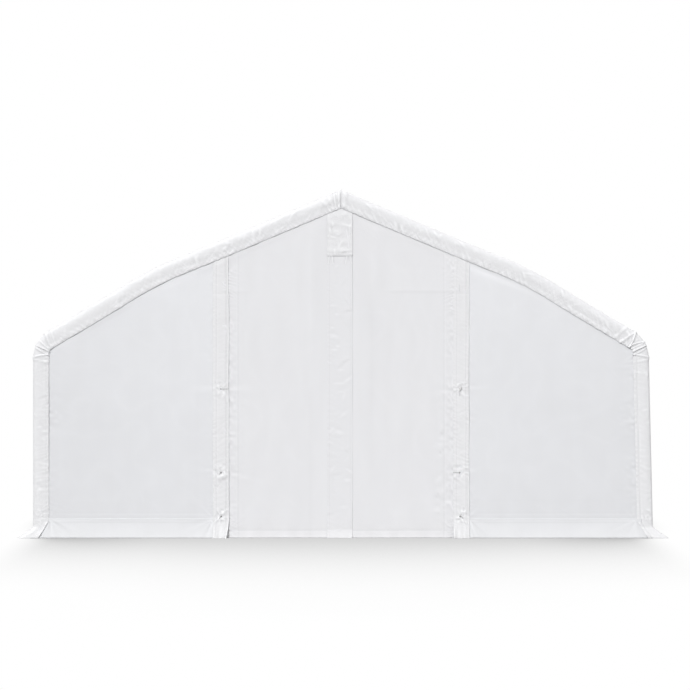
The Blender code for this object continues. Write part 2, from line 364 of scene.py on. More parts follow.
def cloth_marks():
    inputs = {
        "Vector": "Vector",
        "Clean": (0.8, 0.8, 0.8, 1.0),
        "Soiled": (0.7, 0.69, 0.66, 1.0),
        "Amount": 0.3,
        "Painted Fold Shading": 0.0,
        "Crease Shade": 0.10,
        "Foot Shade": 0.0,
        "Side Shade": 0.0,
    }
    outputs = {"Color": "Color", "Roughness": "Float"}
    group, given, out = new_tree("cloth_marks", "ShaderNodeTree", inputs, outputs)
    flat, place = given.outputs["Vector"], object_place(group)
    clouds = noise(group, flat, 1.7, 4.0, 0.6)
    stretched = add(group, "ShaderNodeVectorMath", {0: flat, 1: (9.0, 0.8, 1.0)}, operation="MULTIPLY")
    streaks = noise(group, stretched.outputs[0], 1.0)
    mottled = maths(group, "MULTIPLY", clouds, streaks)
    splash = maths(group, "MULTIPLY", smooth_step(group, place["Z"], SPLASH_TALL, 0.0, "LINEAR"), SPLASH)
    share = maths(group, "MULTIPLY", maths(group, "ADD", mottled, splash), given.outputs["Amount"])
    below = maths(group, "SUBTRACT", 1.0, maths(group, "DIVIDE", place["Z"], PANEL_TALL))
    aside = maths(group, "DIVIDE", maths(group, "ABSOLUTE", place["X"]), HALF_WIDTH)
    # Painted shade and highlight: the colour is darkened in the bottoms of sharp folds and lightened on their
    # crests, and darkened towards the ground and the sides by the amounts given.
    shade = maths(group, "MULTIPLY_ADD", given.outputs["Painted Fold Shading"], given.outputs["Crease Shade"], 1.0)
    for amount, where in (("Foot Shade", below), ("Side Shade", aside)):
        shade = maths(group, "SUBTRACT", shade, maths(group, "MULTIPLY", where, given.outputs[amount]))
    colour = colour_mix(group, share, given.outputs["Clean"], given.outputs["Soiled"])
    shaded = add(group, "ShaderNodeVectorMath", {0: colour, "Scale": shade}, operation="SCALE")
    roughness = maths(group, "MULTIPLY_ADD", mottled, 0.25, 0.42)
    feed(group, out, {"Color": shaded.outputs[0], "Roughness": roughness})
    return group


# %% Weld bands: the overlap of two widths of cloth, a fixed pitch apart along the UV's first axis
WELD_EDGE = 700.0


def weld_bands():
    inputs = {"Vector": "Vector", "Pitch": 2.0, "Width": 0.04}
    group, given, out = new_tree("weld_bands", "ShaderNodeTree", inputs, {"Mask": "Float"})
    half = maths(group, "MULTIPLY", given.outputs["Pitch"], 0.5)
    offset = maths(group, "ADD", separated(group, given.outputs["Vector"])["X"], half)
    along = maths(group, "FLOORED_MODULO", offset, given.outputs["Pitch"])
    away = maths(group, "ABSOLUTE", maths(group, "SUBTRACT", along, half))
    edge = maths(group, "SUBTRACT", maths(group, "MULTIPLY", given.outputs["Width"], 0.5), away)
    feed(group, out, {"Mask": maths(group, "MULTIPLY_ADD", edge, WELD_EDGE, 0.5, clamp=True)})
    return group


# %% Zinc bloom: the dull crystals of galvanised steel
def zinc_bloom():
    inputs = {"Light": (0.66, 0.67, 0.68, 1.0), "Dark": (0.46, 0.47, 0.48, 1.0)}
    outputs = {"Color": "Color", "Roughness": "Float"}
    group, given, out = new_tree("zinc_bloom", "ShaderNodeTree", inputs, outputs)
    place = group.nodes.new("ShaderNodeTexCoord").outputs["Object"]
    cells = add(group, "ShaderNodeTexVoronoi", {"Vector": place, "Scale": 90.0})
    share = maths(group, "MULTIPLY", cells.outputs["Distance"], noise(group, place, 12.0))
    colour = colour_mix(group, share, given.outputs["Light"], given.outputs["Dark"])
    feed(group, out, {"Color": colour, "Roughness": maths(group, "MULTIPLY_ADD", share, 0.4, 0.35)})
    return group


GROUPS = (scrim_weave(), soft_creases(), cloth_marks(), weld_bands(), zinc_bloom())
SCRIM, CREASES, MARKS_AND_SHADE, WELDS, ZINC = GROUPS
print("shader groups:", [group.name for group in GROUPS])

# %% [markdown]
# ## Materials
#
# One recipe makes every coated cloth: the film's colour with its marks, a dull sheen, and a bump
# built from creases, scrim and weld bands. Its colour also carries painted shade in the bottoms of
# sharp folds and a painted highlight on their crests. The gable's panels are a single layer with
# the dark hall behind them. A little daylight comes through them from inside, most of it near the
# roof and the door, so their colour is painted a shade greyer towards the ground and the corner
# posts.


# %% Coated cloth
SOILING = (0.90, 0.885, 0.86)
SCRIM_HEIGHT = 0.00002
WELD_HEIGHT = 0.0009


def new_material(name):
    """A material with its tree and its Principled shader."""
    made = bpy.data.materials.new(name)
    made.use_nodes = True
    return made, made.node_tree, made.node_tree.nodes["Principled BSDF"]


def coated_cloth(name, colour, crease_scale, crease_height=0.0012, weld_pitch=0.0, shades=(0.0, 0.0)):
    made, tree, surface = new_material(name)
    uv = add(tree, "ShaderNodeUVMap", uv_map="cloth").outputs["UV"]
    soiled = [channel * share for channel, share in zip(colour, SOILING)]
    # The fold attribute and the two shades paint shade and highlight into the colour.
    looks = {
        "Vector": uv,
        "Clean": (*colour, 1.0),
        "Soiled": (*soiled, 1.0),
        "Painted Fold Shading": add(tree, "ShaderNodeAttribute", attribute_name="fold").outputs["Fac"],
        "Foot Shade": shades[0],
        "Side Shade": shades[1],
    }
    marked_and_shaded = add(tree, "ShaderNodeGroup", looks, node_tree=MARKS_AND_SHADE)
    crease = add(tree, "ShaderNodeGroup", {"Vector": uv, "Scale": crease_scale}, node_tree=CREASES)
    scrim = add(tree, "ShaderNodeGroup", {"Vector": uv}, node_tree=SCRIM)
    height = maths(tree, "MULTIPLY", crease.outputs["Height"], crease_height)
    height = maths(tree, "MULTIPLY_ADD", scrim.outputs["Height"], SCRIM_HEIGHT, height)
    if weld_pitch:
        weld = add(tree, "ShaderNodeGroup", {"Vector": uv, "Pitch": weld_pitch}, node_tree=WELDS)
        height = maths(tree, "MULTIPLY_ADD", weld.outputs["Mask"], WELD_HEIGHT, height)
    bump = add(tree, "ShaderNodeBump", {"Distance": 1.0, "Strength": 1.0, "Height": height})
    finish = {"Base Color": marked_and_shaded.outputs["Color"], "Roughness": marked_and_shaded.outputs["Roughness"]}
    finish.update({"Normal": bump.outputs["Normal"], "Specular IOR Level": 0.35})
    feed(tree, surface, finish)
    return made


# These whites are all one cloth, in lit and shaded copies set for the light that each piece gets: the roof,
# which faces the light from above, and the skirts, which lean into it, are painted darker than the gable's
# panels.
PANEL_WHITE = (0.861, 0.868, 0.894)
WALL_WHITE = (0.812, 0.820, 0.841)
DOOR_WHITE = (0.842, 0.843, 0.864)
TRIM_WHITE = (0.849, 0.851, 0.868)
ROOF_WHITE = (0.79, 0.797, 0.812)
panel_cloth = coated_cloth("panel_cloth", PANEL_WHITE, 3.0, 0.0008, shades=(0.04, 0.06))
skirt_cloth = coated_cloth("skirt_cloth", WALL_WHITE, 3.0, 0.0008)
door_cloth = coated_cloth("door_cloth", DOOR_WHITE, 3.0, 0.0008)
trim_cloth = coated_cloth("trim_cloth", TRIM_WHITE, 22.0)
roof_cloth = coated_cloth("roof_cloth", ROOF_WHITE, 4.0, weld_pitch=BAY)
wall_cloth = coated_cloth("wall_cloth", WALL_WHITE, 4.0, weld_pitch=BAY)


# %% Metal, thread and webbing
def steel(name, light, dark):
    made, tree, surface = new_material(name)
    tones = {"Light": (*light, 1.0), "Dark": (*dark, 1.0)}
    zinc = add(tree, "ShaderNodeGroup", tones, node_tree=ZINC)
    finish = {"Base Color": zinc.outputs["Color"], "Roughness": zinc.outputs["Roughness"], "Metallic": 0.85}
    feed(tree, surface, finish)
    return made


def fibre(name, colour, cloud_scale):
    """Thread, cord and webbing: a fine mottle of two tones."""
    made, tree, surface = new_material(name)
    place = tree.nodes.new("ShaderNodeTexCoord").outputs["Object"]
    darker = [channel * 0.8 for channel in colour]
    mottle = colour_mix(tree, noise(tree, place, cloud_scale, 2.0), (*colour, 1.0), (*darker, 1.0))
    feed(tree, surface, {"Base Color": mottle, "Roughness": 0.8})
    return made


tube_steel = steel("tube_steel", (0.62, 0.63, 0.64), (0.44, 0.45, 0.46))
eyelet_steel = steel("eyelet_steel", (0.55, 0.55, 0.54), (0.32, 0.32, 0.32))
thread = fibre("thread", (0.76, 0.765, 0.78), 400.0)
webbing = fibre("webbing", (0.80, 0.80, 0.79), 250.0)
cord_grey = fibre("cord_grey", (0.20, 0.20, 0.205), 120.0)
for node in frame["nodes"].values():
    node.data.materials.clear()
    node.data.materials.append(tube_steel)
print("materials:", len(bpy.data.materials))

# %% [markdown]
# ## The outline as a rule
#
# A cloth that is folded over an end arch has to follow the arch at any distance inside the outer
# line. So the outline is a function of s, the distance up the outer line from the ground, and of
# the inset, and its corners are mitred. The ridge ends every line on the middle of the tent.

# %% The outline
ARC_END = SHOULDER_Z + SHOULDER_RADIUS * SHOULDER_TURN
SEAM_S = SHOULDER_Z + SHOULDER_RADIUS * SHOULDER_TURN * SEAM_SHARE


def knee_point(inset):
    """(x, z) of the corner between the two rafters, moved in by inset."""
    middle = (LOWER_PITCH + UPPER_PITCH) / 2
    reach = inset / math.cos((LOWER_PITCH - UPPER_PITCH) / 2)
    return KNEE_X - reach * math.sin(middle), KNEE_Z - reach * math.cos(middle)


def arc_point(angle, inset):
    """(x, z) on the round shoulder."""
    radius = SHOULDER_RADIUS - inset
    return SHOULDER_X + radius * np.cos(angle), SHOULDER_Z + radius * np.sin(angle)


KNEE_SOFTNESS = 0.38
KNEE_CUT = KNEE_SOFTNESS * math.sin((LOWER_PITCH - UPPER_PITCH) / 2) / 2
KNEE_LIFT = 0.010
KNEE_REACH = 0.9
KNEE_BEND = 0.3
KNEE_S = ARC_END + math.dist(arc_point(SHOULDER_TURN, 0.0), knee_point(0.0))
RIDGE_S = KNEE_S + math.hypot(KNEE_X, RIDGE_Z - KNEE_Z)


def outline(s, inset=0.0):
    """(x, z) of the right half at distance s up the outer line, moved in by inset.

    Stretched cloth lifts off the rafters beside the knee and rounds its corner off."""
    angle = np.clip((s - SHOULDER_Z) / SHOULDER_RADIUS, 0.0, SHOULDER_TURN)
    x, z = arc_point(angle, inset)
    z = z + np.minimum(s - SHOULDER_Z, 0.0)
    low = np.clip((s - ARC_END) / (KNEE_S - ARC_END), 0.0, 1.0)
    high = np.clip((s - KNEE_S) / (RIDGE_S - KNEE_S), 0.0, 1.0)
    end_x, end_z = arc_point(SHOULDER_TURN, inset)
    knee_x, knee_z = knee_point(inset)
    ridge_z = RIDGE_Z - inset / math.cos(UPPER_PITCH)
    x = x + low * (knee_x - end_x) - high * knee_x
    z = z + low * (knee_z - end_z) + high * (ridge_z - knee_z)
    middle = (LOWER_PITCH + UPPER_PITCH) / 2
    away = np.abs(s - KNEE_S)
    cut = KNEE_CUT * np.clip(1 - away / KNEE_SOFTNESS, 0.0, 1.0) ** 2
    cut = cut - KNEE_LIFT * (1 - np.clip(away / KNEE_REACH, 0.0, 1.0) ** 2) ** 2
    return x - cut * math.sin(middle), z - cut * math.cos(middle)


def outline_normal(s):
    """The outward direction (x, z) there, turning smoothly over the knee."""
    angle = np.clip((s - SHOULDER_Z) / SHOULDER_RADIUS, 0.0, SHOULDER_TURN)
    knee_turn = np.clip((s - KNEE_S) / KNEE_BEND + 0.5, 0.0, 1.0)
    angle = angle + knee_turn * (LOWER_PITCH - UPPER_PITCH)
    return np.cos(angle), np.sin(angle)


def roof_height(x, inset):
    """The height of the inset outline above the ground, at x across the gable."""
    x = np.abs(x)
    arc_radius = SHOULDER_RADIUS - inset
    reach = np.clip(x - SHOULDER_X, 0.0, arc_radius)
    round_z = SHOULDER_Z + np.sqrt(np.maximum(arc_radius**2 - reach**2, 0.0))
    lower = EAVE_Z + (HALF_WIDTH - x) * math.tan(LOWER_PITCH) - inset / math.cos(LOWER_PITCH)
    upper = RIDGE_Z - x * math.tan(UPPER_PITCH) - inset / math.cos(UPPER_PITCH)
    slope = np.minimum(lower, upper)
    touch_x = SHOULDER_X + arc_radius * math.cos(SHOULDER_TURN)
    return np.where(x > touch_x, round_z, slope)


print("outer line:", round(SEAM_S, 3), round(KNEE_S, 3), round(RIDGE_S, 3))

# %% [markdown]
# ## Folds as a rule
#
# Folds in coated cloth are of a few kinds: soft waves, short sharp creases with a direction, and
# pulls that run out from a point that is tied or pinched. Each kind is a height over the flat
# cloth, in metres, and a piece adds the ones it needs. Every random number comes from a seed, so
# the tent comes out the same each time.

# %% Waves and creases
TABLE_SIZE = 64


def waves(u, v, size_u, size_v, seed):
    """Smooth gradient noise from -1 to 1, with swells about size_u by size_v metres."""
    angles = np.random.default_rng(seed).uniform(0, 2 * np.pi, (TABLE_SIZE, TABLE_SIZE))
    u, v = u / size_u, v / size_v
    u0, v0 = np.floor(u).astype(int), np.floor(v).astype(int)
    fu, fv = u - u0, v - v0

    def corner(i, j):
        angle = angles[(u0 + i) % TABLE_SIZE, (v0 + j) % TABLE_SIZE]
        return np.cos(angle) * (fu - i) + np.sin(angle) * (fv - j)

    ease_u = fu**3 * (fu * (6 * fu - 15) + 10)
    ease_v = fv**3 * (fv * (6 * fv - 15) + 10)
    near = corner(0, 0) * (1 - ease_u) + corner(1, 0) * ease_u
    far = corner(0, 1) * (1 - ease_u) + corner(1, 1) * ease_u
    return 1.4 * (near * (1 - ease_v) + far * ease_v)


def crest(u, v, size_u, size_v, seed):
    """Sharp-topped folds from 0 to 1: the lines where two swells meet."""
    bend = waves(u, v, 3 * size_u, 3 * size_v, seed + 1)
    return (1 - np.abs(waves(u + 0.5 * size_u * bend, v, size_u, size_v, seed))) ** 3


def strokes(u, v, count, seed, length, width, angle, spread, region=None):
    """Short straight creases at random places, most of them along angle, some of them dents."""
    rng = np.random.default_rng(seed)
    low_u, high_u, low_v, high_v = region or (u.min(), u.max(), v.min(), v.max())
    total = np.zeros_like(u)
    for _ in range(count):
        at_u, at_v = rng.uniform(low_u, high_u), rng.uniform(low_v, high_v)
        turn = angle + rng.normal(0, spread)
        reach = length * rng.uniform(0.5, 1.4)
        breadth = width * rng.uniform(0.7, 1.5)
        tall = rng.uniform(0.3, 1.0) * (1 if rng.random() < 0.6 else -1)
        du, dv = u - at_u, v - at_v
        along = (du * np.cos(turn) + dv * np.sin(turn)) / reach
        across = (dv * np.cos(turn) - du * np.sin(turn)) / breadth
        total += tall * np.exp(-(along**2) * 2) / (1 + across**2) ** 1.5
    return total


def pull(u, v, at, reach, folds, height, seed, start=0.0, sweep=2 * math.pi):
    """Folds that fan out from a tied point and die away within reach."""
    rng = np.random.default_rng(seed)
    du, dv = u - at[0], v - at[1]
    far = np.hypot(du, dv)
    angle = np.arctan2(dv, du)
    total = np.zeros_like(u)
    for i in range(folds):
        turn = start + sweep * (i + rng.uniform(-0.3, 0.3)) / folds
        off = (angle - turn + np.pi) % (2 * np.pi) - np.pi
        narrow = 0.16 * rng.uniform(0.6, 1.4)
        length = reach * rng.uniform(0.5, 1.2)
        total += height * rng.uniform(0.5, 1.0) * np.exp(-((off / narrow) ** 2) - far / length)
    return total * (1 - np.exp(-((far / 0.025) ** 2)))


def puckers(along, across, pitch, reach, seed, slant=0.0):
    """Short folds that start at a stitched edge, about pitch apart, and fade out within reach."""
    place = along + slant * across
    fold = crest(place, across, 0.8 * pitch, 3 * pitch, seed) - 0.42
    strength = 0.65 + 0.8 * waves(along, 0 * along, 7 * pitch, 1.0, seed + 2)
    return fold * np.clip(strength, 0.1, 1.2) * np.exp(-np.maximum(across, 0) / reach)


FLOOR_SOFTNESS = 0.0015


def kept_above(height, floor):
    """The same folds, but never deeper than floor, so that nothing behind shows through."""
    return floor + 0.5 * (height - floor + np.sqrt((height - floor) ** 2 + FLOOR_SOFTNESS**2))


def bell(away, width):
    """1 where away is 0, falling off on both sides."""
    return np.exp(-((away / width) ** 2))


def near_ground(z, reach):
    """1 on the ground, falling to 0 at the height reach."""
    return np.clip(1 - z / reach, 0, 1)


def band_mask(v, low, high, soft):
    """1 between low and high, falling to 0 over soft on either side."""
    rise = np.clip((v - low) / soft + 0.5, 0, 1)
    fall = np.clip((high - v) / soft + 0.5, 0, 1)
    return rise * rise * (3 - 2 * rise) * fall * fall * (3 - 2 * fall)


# %% [markdown]
# ## Cloth as a grid
#
# A sheet is a grid of points, closer together where it has a hem or a sharp fold.


# %% Grid spacing and the sheet builder
def spaced(low, high, step, fine=(), fine_step=None, fine_reach=0.0):
    """Places from low to high, step apart, but fine_step apart within fine_reach of each fine place."""
    places = [low]
    while places[-1] < high:
        here = places[-1]
        near = any(abs(here - f) < fine_reach for f in fine)
        places.append(here + (fine_step if near else step))
    places = np.array(places)
    return low + (places - low) * (high - low) / (places[-1] - low)


def cut_area(uv):
    """The area of a grid of flat places, quad by quad."""
    across = uv[1:, 1:] - uv[:-1, :-1]
    other = uv[:-1, 1:] - uv[1:, :-1]
    crossed = across[..., 0] * other[..., 1] - across[..., 1] * other[..., 0]
    return float(np.abs(crossed).sum() / 2)


def grid_mesh(name, points, uv, outward, surface):
    """A mesh of quads on a grid of points, turned so that its faces point outward."""
    rows, columns = points.shape[:2]
    index = np.arange(rows * columns).reshape(rows, columns)
    quads = np.stack([index[:-1, :-1], index[:-1, 1:], index[1:, 1:], index[1:, :-1]], axis=-1)
    quads = quads.reshape(-1, 4)
    flat = points.reshape(-1, 3)
    diagonals = np.cross(flat[quads[:, 2]] - flat[quads[:, 0]], flat[quads[:, 3]] - flat[quads[:, 1]])
    if (diagonals @ np.array(outward, float)).sum() < 0:
        quads = quads[:, ::-1]
    mesh = bpy.data.meshes.new(name)
    mesh.vertices.add(len(flat))
    mesh.vertices.foreach_set("co", flat.astype(np.float32).ravel())
    mesh.loops.add(quads.size)
    mesh.loops.foreach_set("vertex_index", quads.astype(np.int32).ravel())
    mesh.polygons.add(len(quads))
    mesh.polygons.foreach_set("loop_start", np.arange(0, quads.size, 4, dtype=np.int32))
    layer = mesh.uv_layers.new(name="cloth")
    layer.data.foreach_set("uv", uv.reshape(-1, 2)[quads.ravel()].astype(np.float32).ravel())
    mesh.update(calc_edges=True)
    mesh.validate()
    mesh.shade_smooth()
    mesh.materials.append(surface)
    return mesh


SHARP_FOLD = 0.0012


def fold_depth(height):
    """From -1 in the bottom of a sharp fold to 1 on its crest."""
    calm = height.copy()
    for _ in range(3):
        calm = np.pad(calm, 1, mode="edge")
        calm = (calm[:-2] + 2 * calm[1:-1] + calm[2:]) / 4
        calm = (calm[:, :-2] + 2 * calm[:, 1:-1] + calm[:, 2:]) / 4
    return np.clip((height - calm) / SHARP_FOLD, -1, 1)


made_sheets = []
cloth_grids = {}


def make_sheet(name, points, uv, height, outward, surface, nodes, rests_on=("arch_1",), held="stretched"):
    """A finished sheet of cloth that stands for its CAD nodes."""
    mesh = grid_mesh(name, points, uv, outward, surface)
    # The fold attribute lets the material paint shade into creases and a highlight onto crests.
    fold = mesh.attributes.new("fold", "FLOAT", "POINT")
    fold.data.foreach_set("value", fold_depth(height).astype(np.float32).ravel())
    thing = bpy.data.objects.new(name, mesh)
    scene.collection.objects.link(thing)
    thick = thing.modifiers.new("thickness", "SOLIDIFY")
    thick.thickness = CLOTH_THICKNESS
    thick.offset = -1.0
    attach(thing, "root")
    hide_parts(*nodes)
    size = uv.reshape(-1, 2).max(0) - uv.reshape(-1, 2).min(0)
    flat = (float(size[0]), float(size[1]))
    area = min(cut_area(uv), flat[0] * flat[1])
    cloth_grids[name] = (points, uv, np.array(outward, float))
    made_sheets.append((name, round(flat[0], 2), round(flat[1], 2), round(area, 2), len(mesh.polygons)))
    return thing


# %% Pieces of a gable
OUT = {"front": (0, -1, 0), "back": (0, 1, 0)}
SEEDS = {"front": 0, "back": 500}


def hand_of(side, end):
    """The side of the tent that a gable piece is on, once its gable is in place."""
    return "right" if (side > 0) == (end == "front") else "left"


def seed_for(side, end, first):
    """A seed of its own for each piece on each gable."""
    return SEEDS[end] + first + (0 if side > 0 else 20)


def gable_sheet(end, piece, places, out, flat, height, surface, node, **cut):
    """A sheet on a gable, from its (x, z) places, how far out it stands and its flat (u, v).

    It is made for the front gable, and turned half round for the back one."""
    x, z = places
    points = np.stack([x, -(HALF_LENGTH + out), z], axis=-1)
    if end == "back":
        points[..., :2] *= -1
    uv = np.stack(flat, axis=-1)
    return make_sheet(f"{end}_{piece}", points, uv, height, OUT[end], surface, (node,), **cut)


def on_both_gables(make):
    """The left and the right piece of both gables."""
    for end in ENDS:
        for side in SIDES:
            make(side, end)
    print(made_sheets[-4:])


# %% [markdown]
# ## The roof
#
# The roof cover is one sheet over the seven arches. It rests on the tubes and sinks a little
# between them, more on the long slopes than round the shoulders, where the wall cover holds it.
# It hangs over the top of each side wall as a hemmed edge.

# %% Roof skin
ROOF_SAG = 0.035
ROOF_OVERLAP = 0.045
END_FOLD = 0.03
ALONG_STEP = 0.075


def bay_sag(y):
    """0 over an arch and 1 in the middle of a bay."""
    return np.abs(np.sin(np.pi * (y + HALF_LENGTH) / BAY)) ** 0.8


def between(s, low, high):
    """0 at two supports and 1 half way between them."""
    return np.sin(np.pi * np.clip((s - low) / (high - low), 0, 1)) ** 0.7


def along_length():
    """Places along the tent between its two end folds, closer together over the arches."""
    return spaced(-HALF_LENGTH + END_FOLD, HALF_LENGTH - END_FOLD, ALONG_STEP, ARCH_YS, 0.03, 0.12)


def roof_skin():
    reach = RIDGE_S - SEAM_S + ROOF_OVERLAP
    across = spaced(-reach, reach, 0.055, (-reach, 0.0, reach), 0.018, 0.08)
    w, y = np.meshgrid(across, along_length(), indexing="ij")
    s = RIDGE_S - np.abs(w)
    side = np.where(w < 0, -1.0, 1.0)
    x, z = outline(s)
    nx, nz = outline_normal(s)
    slack = between(s, SEAM_S + 0.06, KNEE_S) + between(s, KNEE_S, RIDGE_S)
    height = -ROOF_SAG * bay_sag(y) * slack
    height += 0.006 * waves(w, y, 0.9, 0.5, 11) * slack
    height += 0.004 * (crest(w, y, 1.1, 0.3, 12) - 0.4) * slack * bay_sag(y)
    height += 0.004 * strokes(w, y, 140, 15, 0.35, 0.045, 0.3, 0.9) * slack * bay_sag(y)
    height += 0.007 * waves(w, y, 0.25, 0.07, 13) * band_mask(s, SEAM_S - 0.2, SEAM_S + 0.25, 0.2)
    height += 0.0025 + 0.002 * waves(w, y, 0.05, 0.12, 14) * (s < SEAM_S + 0.05)
    lap = band_mask(s, -9.0, SEAM_S + 0.09, 0.06)
    height = lap * kept_above(height, 0.0005) + (1 - lap) * height
    points = np.stack([side * (x + height * nx), y, z + height * nz], axis=-1)
    uv = np.stack([y, w], axis=-1)
    nodes = ("roof_cover_left", "roof_cover_right")
    arches = [f"arch_{i}" for i in range(1, 8)]
    return make_sheet("roof_skin", points, uv, height, (0, 0, 1), roof_cloth, nodes, rests_on=arches)


roof_skin()
print(made_sheets[-1])

# %% [markdown]
# ## The roof's bands on the gables
#
# At each end the roof cloth is folded round the last arch and comes down over the gable as a
# band. It is laced tight, so it is full of short slanting crinkles, it gathers into deep folds
# where it turns the shoulder, and its hemmed lower edge stands off the gable and throws a thin
# dark line. Its two halves meet in a pinched seam at the ridge.

# %% Roof bands
BAND_ON_ROOF = 0.11
FOLD_WIDTH = 0.110
FOLD_DEPTH = 0.041
FOLD_POWER = 3.0
BAND_TUCK = 0.0065
EDGE_STAND_OFF = 0.001

fold_turns = math.pi / 2 * np.linspace(0.0, 1.0, 300) ** 2
fold_up = FOLD_WIDTH * np.sin(fold_turns) ** (2 / FOLD_POWER)
fold_steps = np.hypot(np.diff(fold_up), np.diff(FOLD_DEPTH * np.cos(fold_turns)))
fold_lengths = np.concatenate([[0.0], np.cumsum(fold_steps)])
FOLD_LENGTH = float(fold_lengths[-1])

# The folds that the photograph shows best: (place along the band, slant, width, height)
SHOULDER_FOLDS = {
    -1: ((0.055, 0.2, 0.013, 0.006), (0.15, 0.5, 0.024, 0.010), (0.25, 0.3, 0.020, 0.004)),
    1: (
        (0.045, -0.10, 0.011, 0.006),
        (0.094, -0.40, 0.012, 0.011),
        (0.166, 0.45, 0.013, 0.013),
        (0.270, -0.50, 0.020, 0.010),
        (0.390, -0.35, 0.024, 0.006),
    ),
}
CORNER_FOLDS = ((-0.06, 0.3, 0.012, 0.006), (-0.13, -0.35, 0.016, 0.007), (-0.21, 0.2, 0.013, 0.004))
RIDGE_FOLDS = {
    -1: (
        (0.030, 0.05, 0.010, 0.006),
        (0.085, 0.15, 0.012, 0.009),
        (0.14, 0.4, 0.022, 0.004),
        (0.21, 0.6, 0.03, 0.003),
    ),
    1: ((0.055, 0.05, 0.030, 0.006), (0.16, -0.3, 0.02, 0.002)),
}


def band_grid(rows, band):
    """Grids of s up the outline and of v across a band, from its hem to the cloth behind it."""
    top = band - FOLD_WIDTH + FOLD_LENGTH + BAND_ON_ROOF
    columns = spaced(0.0, top, 0.0135, (0.0, 0.05, top), 0.006, 0.012)
    return np.meshgrid(rows, columns, indexing="ij")


def wrap_profile(v, band):
    """(inset, out, along inset, along out) at distance v up from the band's lower edge.

    The cloth doesn't hug the tube, so the fold is a flattened quarter circle. The last two give
    the outward direction: over the front, round the tube, onto the top."""
    flat_length = band - FOLD_WIDTH
    turn = np.interp(v - flat_length, fold_lengths, fold_turns)
    rise = np.sin(turn) ** (2 / FOLD_POWER)
    over = np.maximum(v - flat_length - FOLD_LENGTH, 0.0)
    inset = np.where(v < flat_length, band - v, FOLD_WIDTH * (1 - rise))
    out = FOLD_DEPTH * np.cos(turn) - over - BAND_TUCK * np.clip(1 - v / flat_length, 0.0, 1.0)
    up = FOLD_POWER * rise ** (FOLD_POWER - 1) / FOLD_WIDTH
    front = 2 * np.cos(turn) / FOLD_DEPTH
    size = np.hypot(up, front)
    return inset, out, -up / size, front / size


def corner_cut(s, v):
    """How far the band's inner edge is cut back at the shoulder, where two straight hems meet."""
    radius = SHOULDER_RADIUS - ROOF_BAND
    half_turn = SHOULDER_TURN / 2
    from_middle = np.abs((s - SHOULDER_Z) / SHOULDER_RADIUS - half_turn)
    cut = radius * (1 / np.cos(np.maximum(half_turn - from_middle, 0.0)) - 1)
    return cut * np.clip(1 - v / 0.17, 0.0, 1.0)


def set_folds(along, v, folds, low=0.01, high=0.26):
    """The listed folds across a band; each leans by its slant."""
    total = sum(tall * bell(along - place - slant * (v - 0.11), width) for place, slant, width, tall in folds)
    return total * band_mask(v, low, high, 0.06)


GATHER_HEIGHT = 0.0028
GATHERS = 9


def shoulder_gathers(s, v, seed):
    """Deep folds across the band where it turns the shoulder."""
    rng = np.random.default_rng(seed)
    total = np.zeros_like(s)
    centre = SHOULDER_Z + SHOULDER_RADIUS * SHOULDER_TURN * 0.62
    for _ in range(GATHERS):
        at = centre + rng.uniform(-0.22, 0.24)
        slant = rng.uniform(-0.35, 0.35)
        width = rng.uniform(0.006, 0.015)
        tall = rng.uniform(0.4, 1.0)
        across = (s - at - slant * (v - 0.1)) / width
        total += tall / (1 + across**2) ** 1.5
    fade = np.clip(1.25 - v / 0.22, 0.25, 1.0)
    return GATHER_HEIGHT * (total - 0.5) * fade * band_mask(s, centre - 0.22, centre + 0.26, 0.1)


# %% The four roof bands
def roof_band(side, end):
    seed = seed_for(side, end, 20)
    low_end = SEAM_S - 0.012
    rows = spaced(low_end, RIDGE_S - 0.0012, 0.017, (SEAM_S + 0.12, RIDGE_S), 0.0085, 0.24)
    s, v = band_grid(rows, ROOF_BAND)
    inset, out, up_inset, up_out = wrap_profile(v, ROOF_BAND)
    front = band_mask(v, -0.1, ROOF_BAND - 0.02, 0.06)
    stand_off = EDGE_STAND_OFF * (1 + 1.6 * waves(s, 0 * s, 0.07, 1.0, seed + 7))
    height = stand_off * np.exp(-v / 0.045) + 0.0022 * bell(v - 0.034, 0.026)
    height += 0.018 * np.exp(-(s - low_end) / 0.020)
    height += 0.005 * puckers(s, v, 0.08, 0.11, seed, 0.7) * front
    height += 0.004 * puckers(s, v, 0.12, 0.25, seed + 6, -0.9) * front
    height += 0.005 * strokes(s, v, 90, seed, 0.10, 0.018, 0.5, 0.5) * front
    height += 0.004 * waves(s, v, 0.20, 0.09, seed + 1)
    height += shoulder_gathers(s, v, seed + 3)
    from_ridge = RIDGE_S - s
    height += set_folds(from_ridge, v, RIDGE_FOLDS[side])
    height += set_folds(s - SEAM_S, v, SHOULDER_FOLDS[side], -0.05, 0.30)
    height += 0.0012 * band_mask(v, -0.02, 0.032, 0.006)
    height = kept_above(height, 0.0)
    x, z = outline(s, inset)
    nx, nz = outline_normal(s)
    lift = -up_inset * (height + 0.006 * bell(from_ridge, 0.02))
    edge = 0.004 * waves(s, 0 * s, 0.09, 1.0, seed + 5) * np.exp(-v / 0.03) - corner_cut(s, v)
    places = (side * (x + lift * nx - edge * nx), z + lift * nz - edge * nz)
    hand = hand_of(side, end)
    node = f"roof_cover_{hand}"
    gable_sheet(end, f"roof_band_{hand}", places, out + up_out * height, (s, v), height, trim_cloth, node)


on_both_gables(roof_band)

# %% [markdown]
# ## The side walls
#
# A side wall hangs from the shoulder to the ground and runs out over it as a skirt, which is
# weighted or pegged. Its cloth is pulled in between the posts and shows soft upright waves and
# slack folds near the skirt. The band round the corner post is a sheet of its own here.

